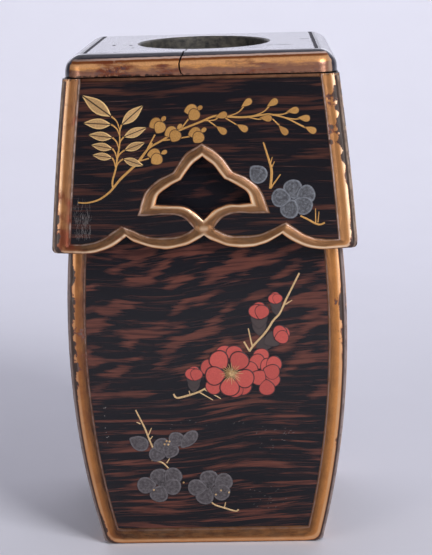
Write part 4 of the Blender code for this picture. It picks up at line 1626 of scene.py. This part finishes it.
painted = [
    set_out("nandina_leaves", LEAF, [between_points(a, b, 0.37, 0.1) for a, b in LEAVES],
            cover_form, dull_gold, 3),
    set_out("nandina_berries", PETAL, [lobe for berry in BERRIES for lobe in lobes(*berry)],
            cover_form, orange_gold, 4),
    set_out("nandina_buds", DROP,
            [(bud[0] - 1.4 * sin(turn), bud[1] - 1.4 * cos(turn), turn, 1.95, 3.2, 0.12)
             for bud, turn in zip(BUDS, map(toward, BUD_JOINS, BUDS))],
            cover_form, orange_gold, 6),
    strokes("nandina_stems",
            [((0.16, 0.3, 0.24), *NANDINA_STEM), ((0.22, 0.27, 0.15), *NANDINA_TOP),
             ((0.22, 0.22, 0.14), *FROND)]
            + [petiole(base) for base, _ in LEAVES]
            + [((0.14, 0.15, 0.2), join, ((join[0] + bud[0]) / 2 + 0.5,
                                         (join[1] + bud[1]) / 2 - 0.4), bud)
               for join, bud in zip(BUD_JOINS, BUDS)]
            + [((0.16, 0.16, 0.18), a, b) for a, b in (
                ((-13, 97.6), (-10.7, 101.6)), ((-9.2, 100.2), (-6.8, 100.4)),
                ((-4.6, 102.9), (-2.9, 105.0)), ((-5.6, 100.6), (-2.6, 101.0)),
                ((-14.6, 95.6), (-12.2, 96.2)))],
            cover_form, orange_gold),
]
print("nandina:", sum(len(piece.data.polygons) for piece in painted), "faces")

# %% [markdown]
# ## Plum blossom
# Five round petals stand about a middle, and fine gold threads spread from it. The red plum on
# the case has a full flower, one half hidden, and buds in dark calyces. The grey plum below it
# and on the cover is the same flower in silver powder.

# %% Petals, buds and threads


def petals(middle, places, radius, low, step=0.02):
    """Petals round a flower's middle, each a little higher than the one before."""
    return [(*place, toward(middle, place), radius * 0.98, radius, low + step * i)
            for i, place in enumerate(places)]


def threads(middle, count, length, height):
    """Thin gold threads that spread from a flower's middle, long and short in turn."""
    return [(*middle, 2 * pi * i / count, 0.16, length * (1.0, 0.72, 0.88)[i % 3], height)
            for i in range(count)]


RED_MIDDLE = (5.5, 44.4)
red = petals(RED_MIDDLE, ((3.9, 49.4), (6.3, 49.3), (0.1, 46.0), (9.9, 45.2), (1.2, 41.2),
                          (8.2, 40.9), (6.2, 40.3)), 2.0, 0.06)
red += petals((13.4, 45.2), ((12.6, 48.6), (11.6, 47.2), (14.2, 46.1), (15.6, 46.6),
                             (15.1, 42.6), (15.1, 44.6), (11.8, 43.2), (13.8, 40.6)), 1.9, 0.08)
red += petals(RED_MIDDLE, ((2.6, 47.8), (7.4, 47.5), (8.6, 43.1), (5, 41.0), (1.5, 43.9)),
              2.3, 0.24)
RED_BUDS = (((16.2, 62.4), (16.4, 60), 1.5), ((12.3, 59.4), (12.3, 56), 2.2),
            ((17.4, 53.7), (13.6, 51.6), 2.1), ((-3.4, 44.4), (-3.5, 41.9), 1.9))
calyces = []
for bud, foot, radius in RED_BUDS:
    turn = toward(foot, bud)
    calyces.append((*foot, turn, radius * 0.72, radius * 0.95, 0.05))
    calyces.append(((foot[0] + bud[0]) / 2, (foot[1] + bud[1]) / 2, turn, radius * 0.85,
                    radius, 0.06))
    for aside, ahead, size, height in ((0.0, 0.36, 0.68, 0.08), (-0.3, 0.0, 0.8, 0.1),
                                       (0.32, -0.05, 0.76, 0.12)):
        red.append((bud[0] + radius * (aside * cos(turn) + ahead * sin(turn)),
                    bud[1] + radius * (ahead * cos(turn) - aside * sin(turn)),
                    turn + aside, radius * size, radius * size, height))
RED_TWIGS = (
    ((0.22, 0.27, 0.27), (21.9, 68.3), (20.2, 65), (18.7, 62.1), (18, 60.5), (17, 58.6),
     (15.6, 57.1), (14.4, 55.2), (12.9, 53.3), (10.8, 51.1), (9.8, 49.7)),
    ((0.17, 0.17, 0.11), (18.5, 60.9), (20.1, 61.9)),
    ((0.2, 0.18, 0.15), (10.5, 51.1), (9.7, 55.3)), ((0.2, 0.2, 0.22), (9.8, 49.9), (8.6, 52.1)),
    ((0.22, 0.27, 0.22), (-8.4, 39.5), (-7.7, 38.5), (-5.5, 38.9), (-2.4, 39.9), (-0.2, 41.1)),
    ((0.17, 0.17, 0.12), (-2.4, 39.9), (0.9, 37.8)),
    ((0.17, 0.17, 0.12), (-1.2, 40.6), (2.8, 38.1)),
    ((0.15, 0.14, 0.09), (-4.5, 39.4), (-4.7, 40.2)))
painted += [
    set_out("plum_calyces", PETAL, calyces, case_form, calyx_lacquer, 7),
    set_out("plum_red_petals", PETAL, red, case_form, red_lacquer, 8),
    set_out("plum_red_threads", SLIVER, threads(RED_MIDDLE, 24, 2.9, 0.38), case_form,
            pale_gold, 9),
    strokes("plum_red_twigs", RED_TWIGS, case_form, pale_gold)]
print("red plum:", len(red), "petals")

# %% The grey plums
GREY_FLOWERS = (
    ((-11.9, 16.3), ((-12.8, 18.5), (-8.7, 18.7), (-9.1, 15.2), (-13.1, 12.8), (-16.8, 15.8))),
    ((-0.3, 15.0), ((-0.7, 18), (3.6, 16.9), (2.8, 13.4), (-2.1, 12.1), (-4.4, 15.1))))


def drawn_in(middle, places):
    """The same places, a little nearer to the flower's middle."""
    return [(x + (middle[0] - x) * 0.17, z + (middle[1] - z) * 0.17) for x, z in places]


grey = []
for middle, places in GREY_FLOWERS:
    grey += petals(middle, drawn_in(middle, places), 2.15, 0.08)
grey += petals((-10.2, 23.6), ((-13, 24.1), (-11.7, 26.4), (-9.6, 25.1), (-8.1, 27.9)), 1.9, 0.08)
grey += [(-5.0, 28.0, 0.75, 1.5, 2.6, 0.15), (-17.0, 27.0, 2.1, 1.8, 2.3, 0.1)]
COVER_MIDDLE = (21, 86.3)
grey_cover = petals(COVER_MIDDLE, drawn_in(COVER_MIDDLE, (
    (20.6, 89.1), (24.3, 87.4), (23.5, 84.3), (19.6, 83.3), (17.1, 86.6))), 2.1, 0.08)
grey_cover.append((12.8, 92.0, 2.4, 2.0, 2.1, 0.1))
SPUR = (0.15, 0.15, 0.12)  # half widths of a short side twig
GREY_TWIGS = (
    ((0.17, 0.22, 0.22), (-17.6, 35.6), (-16.7, 33.5), (-15.6, 30.9), (-14.6, 27.8),
     (-13.7, 25.4)),
    ((0.15, 0.14, 0.11), (-16.6, 32), (-17.5, 32.5)),
    (SPUR, (-15, 28.6), (-14, 30.9)), (SPUR, (-14.6, 27.8), (-13.8, 28.8)),
    ((0.15, 0.2, 0.2), (-14.3, 22.5), (-11.9, 21.9), (-10.3, 20.3)),
    (SPUR, (-10.7, 21.7), (-9.9, 23)),
    ((0.18, 0.22, 0.22), (-0.2, 10.9), (0.8, 10.1), (3.2, 9.2), (5.6, 8.4), (6.3, 8.9)),
    (SPUR, (2.9, 9.5), (3.2, 10.9)))
COVER_TWIGS = (
    ((0.18, 0.31, 0.31), (14.1, 99.3), (15, 96.3), (15.8, 93.3), (15.8, 91.3), (15.5, 88.7)),
    ((0.18, 0.18, 0.14), (15.5, 88.7), (16.7, 90.3), (17.9, 91.9)),
    ((0.15, 0.14, 0.09), (15.6, 94.3), (16.1, 95.9)),
    ((0.15, 0.14, 0.09), (15.8, 93.3), (16.6, 94.9)),
    ((0.2, 0.24, 0.22), (22.3, 82.3), (23.7, 81.6), (25.8, 80.4), (26.9, 80.2), (27.9, 80.6)),
    ((0.14, 0.12, 0.08), (25.8, 80.7), (25.8, 83.9)),
    ((0.14, 0.12, 0.08), (26.3, 80.7), (26.6, 83.2)))
painted += [
    set_out("plum_grey_petals", PETAL, grey, case_form, case_silver, 10),
    set_out("plum_grey_petals_cover", PETAL, grey_cover, cover_form, cover_silver, 11),
    set_out("plum_grey_threads", SLIVER,
            threads((-11.9, 16.3), 12, 1.7, 0.2) + threads((-0.3, 15.0), 14, 2.2, 0.2),
            case_form, case_silver, 12),
    set_out("plum_pollen", PETAL,
            [(x, z, 0.0, 0.22, 0.22, 0.24) for x, z in (
                (-10.5, 27.5), (-9.8, 27.4), (-11, 26.7), (-6.8, 16.5), (-10.1, 26.6),
                (2.2, 14.2), (0.9, 13.1), (4.1, 13.6), (-14.1, 14.6))], case_form, pale_gold, 13),
    strokes("plum_grey_twigs", GREY_TWIGS, case_form, pale_gold),
    strokes("plum_grey_twigs_cover", COVER_TWIGS, cover_form, orange_gold)]
print("grey plums:", len(grey) + len(grey_cover), "petals")

# %% [markdown]
# ## Scratches and specks
# The varnish is scuffed in a few places: a column of pale specks at the case's left, and a patch
# of fine slanting scratches at the cover's lower left. A tree scatters thin slivers over a patch,
# with a fixed seed, all leaning nearly one way.

# %% Scatter slivers over a patch


def scatter_tree():
    """Slivers strewn over a patch, within a range of turns and lengths."""
    tree, add, given = new_tree("scatter slivers", {
        "Geometry": "Geometry", "Sliver": "Object", "Seed": "Int", "Material": "Material",
        **FORM_INPUTS, **dict.fromkeys(("Depth", "Density", "Lean", "Spread", "Shortest",
                                        "Longest", "Breadth", "Height"), "Float")})
    spots = add("GeometryNodeDistributePointsOnFaces", given["Geometry"],
                {"Density": given["Density"], "Seed": given["Seed"]})
    least, most = (add(kind, given["Lean"], given["Spread"]) for kind in (MINUS, PLUS))
    lean = add(RANDOM, least, most, 5)
    length = add(RANDOM, given["Shortest"], given["Longest"], 6)
    shape = add("GeometryNodeObjectInfo", given["Sliver"])
    size = add(JOIN, given["Breadth"], given["Height"], length)
    placed = add(PLACE_ON, spots.outputs["Points"], shape.outputs["Geometry"],
                 add(JOIN, {1: lean}), size)
    laid = lay_down(add, add(REALIZE, placed), given)
    add(RESULT, add(FINISH, laid, given["Material"]))
    return tree


SCATTER = scatter_tree()


def scatter(name, corners, form, per_square_mm, lean, spread, lengths, breadth, seed):
    """Slivers over the patch between two opposite corners, in mm."""
    (x0, z0), (x1, z1) = corners
    patch = flat_object(name, ((x0, z0), (x1, z0), (x1, z1), (x0, z1)), faces=[(0, 1, 2, 3)])
    return run_tree(patch, SCATTER, name, side_values(
        form, bright_scratch, Sliver=SLIVER, Density=per_square_mm / MM ** 2, Seed=seed,
        Lean=lean, Spread=spread, Shortest=lengths[0] * MM, Longest=lengths[1] * MM,
        Breadth=breadth * MM, Height=0.02 * MM))


SCUFFS = (  # patch, how many on a square mm, lean, spread, lengths, breadth
    ("scratches_cover", ((-29.8, 77.4), (-26.2, 83.0)), cover_form, 7.0, 0.0, 0.4,
     (0.3, 1.8), 0.035),
    ("scratches_cover_fine", ((-30.0, 83.0), (-26.2, 86.0)), cover_form, 2.0, 0.1, 0.2,
     (0.6, 2.4), 0.03),
    ("specks_case", ((-25.4, 26.0), (-24.4, 37.0)), case_form, 0.9, 0.3, 1.2, (0.2, 0.5), 0.16),
    ("specks_case_low", ((-10.0, 30.5), (8.0, 33.5)), case_form, 0.2, 1.2, 0.5,
     (0.2, 0.6), 0.07),
    ("specks_case_right", ((11.0, 24.0), (20.0, 31.0)), case_form, 0.35, 1.0, 0.6,
     (0.2, 0.7), 0.07),
    ("specks_case_foot", ((9.0, 8.5), (18.0, 15.0)), case_form, 0.35, 1.3, 0.5, (0.2, 0.6), 0.07))
FACES = len(SLIVER.data.polygons)
scuffs = [scatter(*scuff, seed) for seed, scuff in enumerate(SCUFFS, 21)]
painted += scuffs
for template in (PETAL, LEAF, DROP, SLIVER):
    bpy.data.objects.remove(template)
for piece in scuffs:
    print(piece.name, len(piece.data.polygons) // FACES, "slivers")

# %% [markdown]
# ## Wear
# Each blow and each rubbed place is a spot on the box with a radius. It gives the gold's pattern
# a number, so that chips and stains crowd there, and it bites a little out of the free edge
# itself: most out of the case's, least out of the cover's, whose gold is stained but whole.

# %% Worn places
WORN = {
    "case": (((-31.5, -31.5, 58.0), 9.0, 0.75), ((-32.0, -32.0, 67.0), 7.0, 0.6),
             ((-31.5, -31.5, 47.0), 7.0, 0.7), ((32.0, -32.0, 60.0), 4.0, 0.55),
             ((32.0, -32.0, 52.0), 3.0, 0.6), ((29.0, -29.0, 26.5), 2.2, 0.9),
             ((-27.0, -27.0, 4.0), 4.0, 0.4), ((28.0, 28.0, 30.0), 10.0, 0.5)),
    "cover_sides": (((-34.0, -35.0, 79.0), 6.5, 0.6), ((35.0, -35.0, 77.0), 4.0, 0.4),
                    ((32.0, -31.5, 104.0), 11.0, 0.95), ((0.0, -34.3, 79.0), 4.0, 0.15),
                    ((31.5, 31.5, 100.0), 9.0, 0.5)),
    "cover_board": (((-20.0, -31.0, 116.5), 4.5, 0.95), ((-9.0, -31.0, 114.5), 3.5, 0.75),
                    ((-31.0, -30.0, 117.0), 2.5, 0.6), ((27.0, -31.0, 114.0), 2.5, 0.5),
                    ((10.0, -31.0, 115.0), 9.0, 0.3), ((-4.0, -30.0, 118.0), 1.5, 0.8),
                    ((30.0, 10.0, 117.0), 9.0, 0.6)),
}
NIBBLE = {"case": 0.5, "cover_sides": 0.15, "cover_board": 0.3}  # mm at the worst place
INNER_WALL = -0.35  # below this, a point is not on the outside


def add_wear(piece):
    """Give each point of a piece its wear, and nibble the free edges where it is worn."""
    shares = [item.value for item in piece.data.attributes["across"].data]
    wears = []
    for vert in piece.data.vertices:
        place = vert.co / MM
        wears.append(max(strength * exp(-((place - Vector(centre)).length / radius) ** 2)
                         for centre, radius, strength in WORN[piece.name]))
    moves = []
    for vert, share, worn in zip(piece.data.vertices, shares, wears):
        rough = max(noise.noise(vert.co / MM * 0.8) + 0.2, 0.0)
        edge = min(max(1 - share / 0.25, 0.0), 1.0) if piece is not board else min(share, 1.0)
        depth = NIBBLE[piece.name] * MM if share > INNER_WALL else 0.0
        moves.append(vert.normal * (-depth * worn * rough * edge))
    for vert, move in zip(piece.data.vertices, moves):
        vert.co += move
    piece.data.attributes.new("wear", "FLOAT", "POINT").data.foreach_set("value", wears)
    piece.data.update()


for piece in (case, cover_sides, board):
    add_wear(piece)
    print(piece.name, "has", len(WORN[piece.name]), "worn places")

# %% [markdown]
# ## Stage, light and camera
# The box stands on a pale sweep, which is floor and backdrop in one, so there is no horizon.
# The key light hangs high at the right and a weaker one fills from the left. Two low ones give
# the mouldings their shine, a wide one behind and above glances off the board, and one lights
# the backdrop. The camera looks slightly down from the front with a long lens.

# %% The sweep
BELOW = 0.0002  # metres below the box's foot, so that the two faces don't lie in one place


def make_sweep():
    """A floor that curves up into a backdrop; its profile is y and z in metres."""
    profile = [(-0.9, 0.0), (0.3, 0.0)]
    for step in range(1, 13):
        angle = pi / 2 * step / 12
        profile.append((0.3 + 0.4 * sin(angle), 0.4 * (1 - cos(angle))))
    profile.append((0.7, 1.6))
    working = bmesh.new()
    rows = [[working.verts.new((x, y, z - BELOW)) for x in (-1.4, 1.4)] for y, z in profile]
    for low, high in zip(rows, rows[1:]):
        working.faces.new((low[0], low[1], high[1], high[0]))
    material, add, shader = new_finish("matt pale studio paper", "e6e6ec", 0.9)
    fibre = add(NOISE, in_millimetres(add), 0.03, 3.0)
    finish_inputs(shader, Base_Color=add(BLEND, fibre, "e4e4ea", "e8e8ee"))
    sweep = as_object(working, "sweep", material)
    sweep.data.shade_smooth()


make_sweep()
print("sweep laid")

# %% Lights and air


def soft_light(name, place, aim, size, power, colour):
    """A rectangular light at a place, turned to what it aims at."""
    lamp = bpy.data.lights.new(name, "AREA")
    lamp.shape, lamp.size, lamp.size_y = "RECTANGLE", *size
    lamp.energy = power
    lamp.color = linear(colour)[:3]
    light = in_scene(name, lamp)
    light.location = place
    light.rotation_mode = "QUATERNION"
    light.rotation_quaternion = (Vector(aim) - Vector(place)).to_track_quat("-Z", "Y")


soft_light("key at the right", (0.45, -0.6, 0.56), (0, 0, 0.06), (0.35, 0.35), 4.9, "f8f8ff")
soft_light("fill at the left", (-0.6, -0.6, 0.36), (0, 0, 0.06), (0.4, 0.6), 1.1, "fffaf6")
soft_light("low at the right", (0.52, -0.66, 0.08), (0, 0, 0.06), (0.16, 0.24), 1.3, "fffaf4")
soft_light("low at the left", (-0.50, -0.66, 0.10), (0, 0, 0.09), (0.16, 0.24), 0.7, "fffaf4")
soft_light("behind and above", (0.0, 0.62, 0.34), (0, 0, 0.12), (0.9, 0.2), 1.0, "f2f2ff")
soft_light("backdrop light", (0.0, 0.3, 0.8), (0, 0.9, 0.3), (1.2, 0.2), 2.8, "f4f4ff")
world = bpy.data.worlds.new("studio air")
world.use_nodes = True
air = world.node_tree.nodes["Background"]
air.inputs["Color"].default_value = linear("d8d8f0")
air.inputs["Strength"].default_value = 0.14
bpy.context.scene.world = world
bpy.context.scene.view_settings.view_transform = "Standard"
print("six soft lights and a pale world")

# %% The camera
PITCH, YAW, ROLL = radians(12.26), radians(-1.79), radians(1.51)
forward = Vector((sin(YAW) * cos(PITCH), cos(YAW) * cos(PITCH), -sin(PITCH)))
level = Vector((cos(YAW), -sin(YAW), 0.0))
down = forward.cross(level)
right = cos(ROLL) * level + sin(ROLL) * down
up = sin(ROLL) * level - cos(ROLL) * down
camera = in_scene("camera", bpy.data.cameras.new("camera"))
camera.data.lens, camera.data.sensor_width = 108.5, 36.0
camera.matrix_world = Matrix((right, up, -forward)).transposed().to_4x4()
camera.location = (0.01436, -0.41411, 0.15069)
bpy.context.scene.camera = camera
print("camera is", round(camera.location.length, 3), "m from the box's foot")

# %% [markdown]
# ## Riding on the body
# Each skin stands for its solid, which is hidden, and rides on the part's one body.

# %% Ride and replace
for piece, node, slot in ((case, "box_body", "case_lacquer"),
                          (cover_sides, "cover_skirt", "cover_lacquer"),
                          (board, "cover_top_board", "board_lacquer")):
    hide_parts(node)
    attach(piece, "root")
for piece in painted:
    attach(piece, "root")
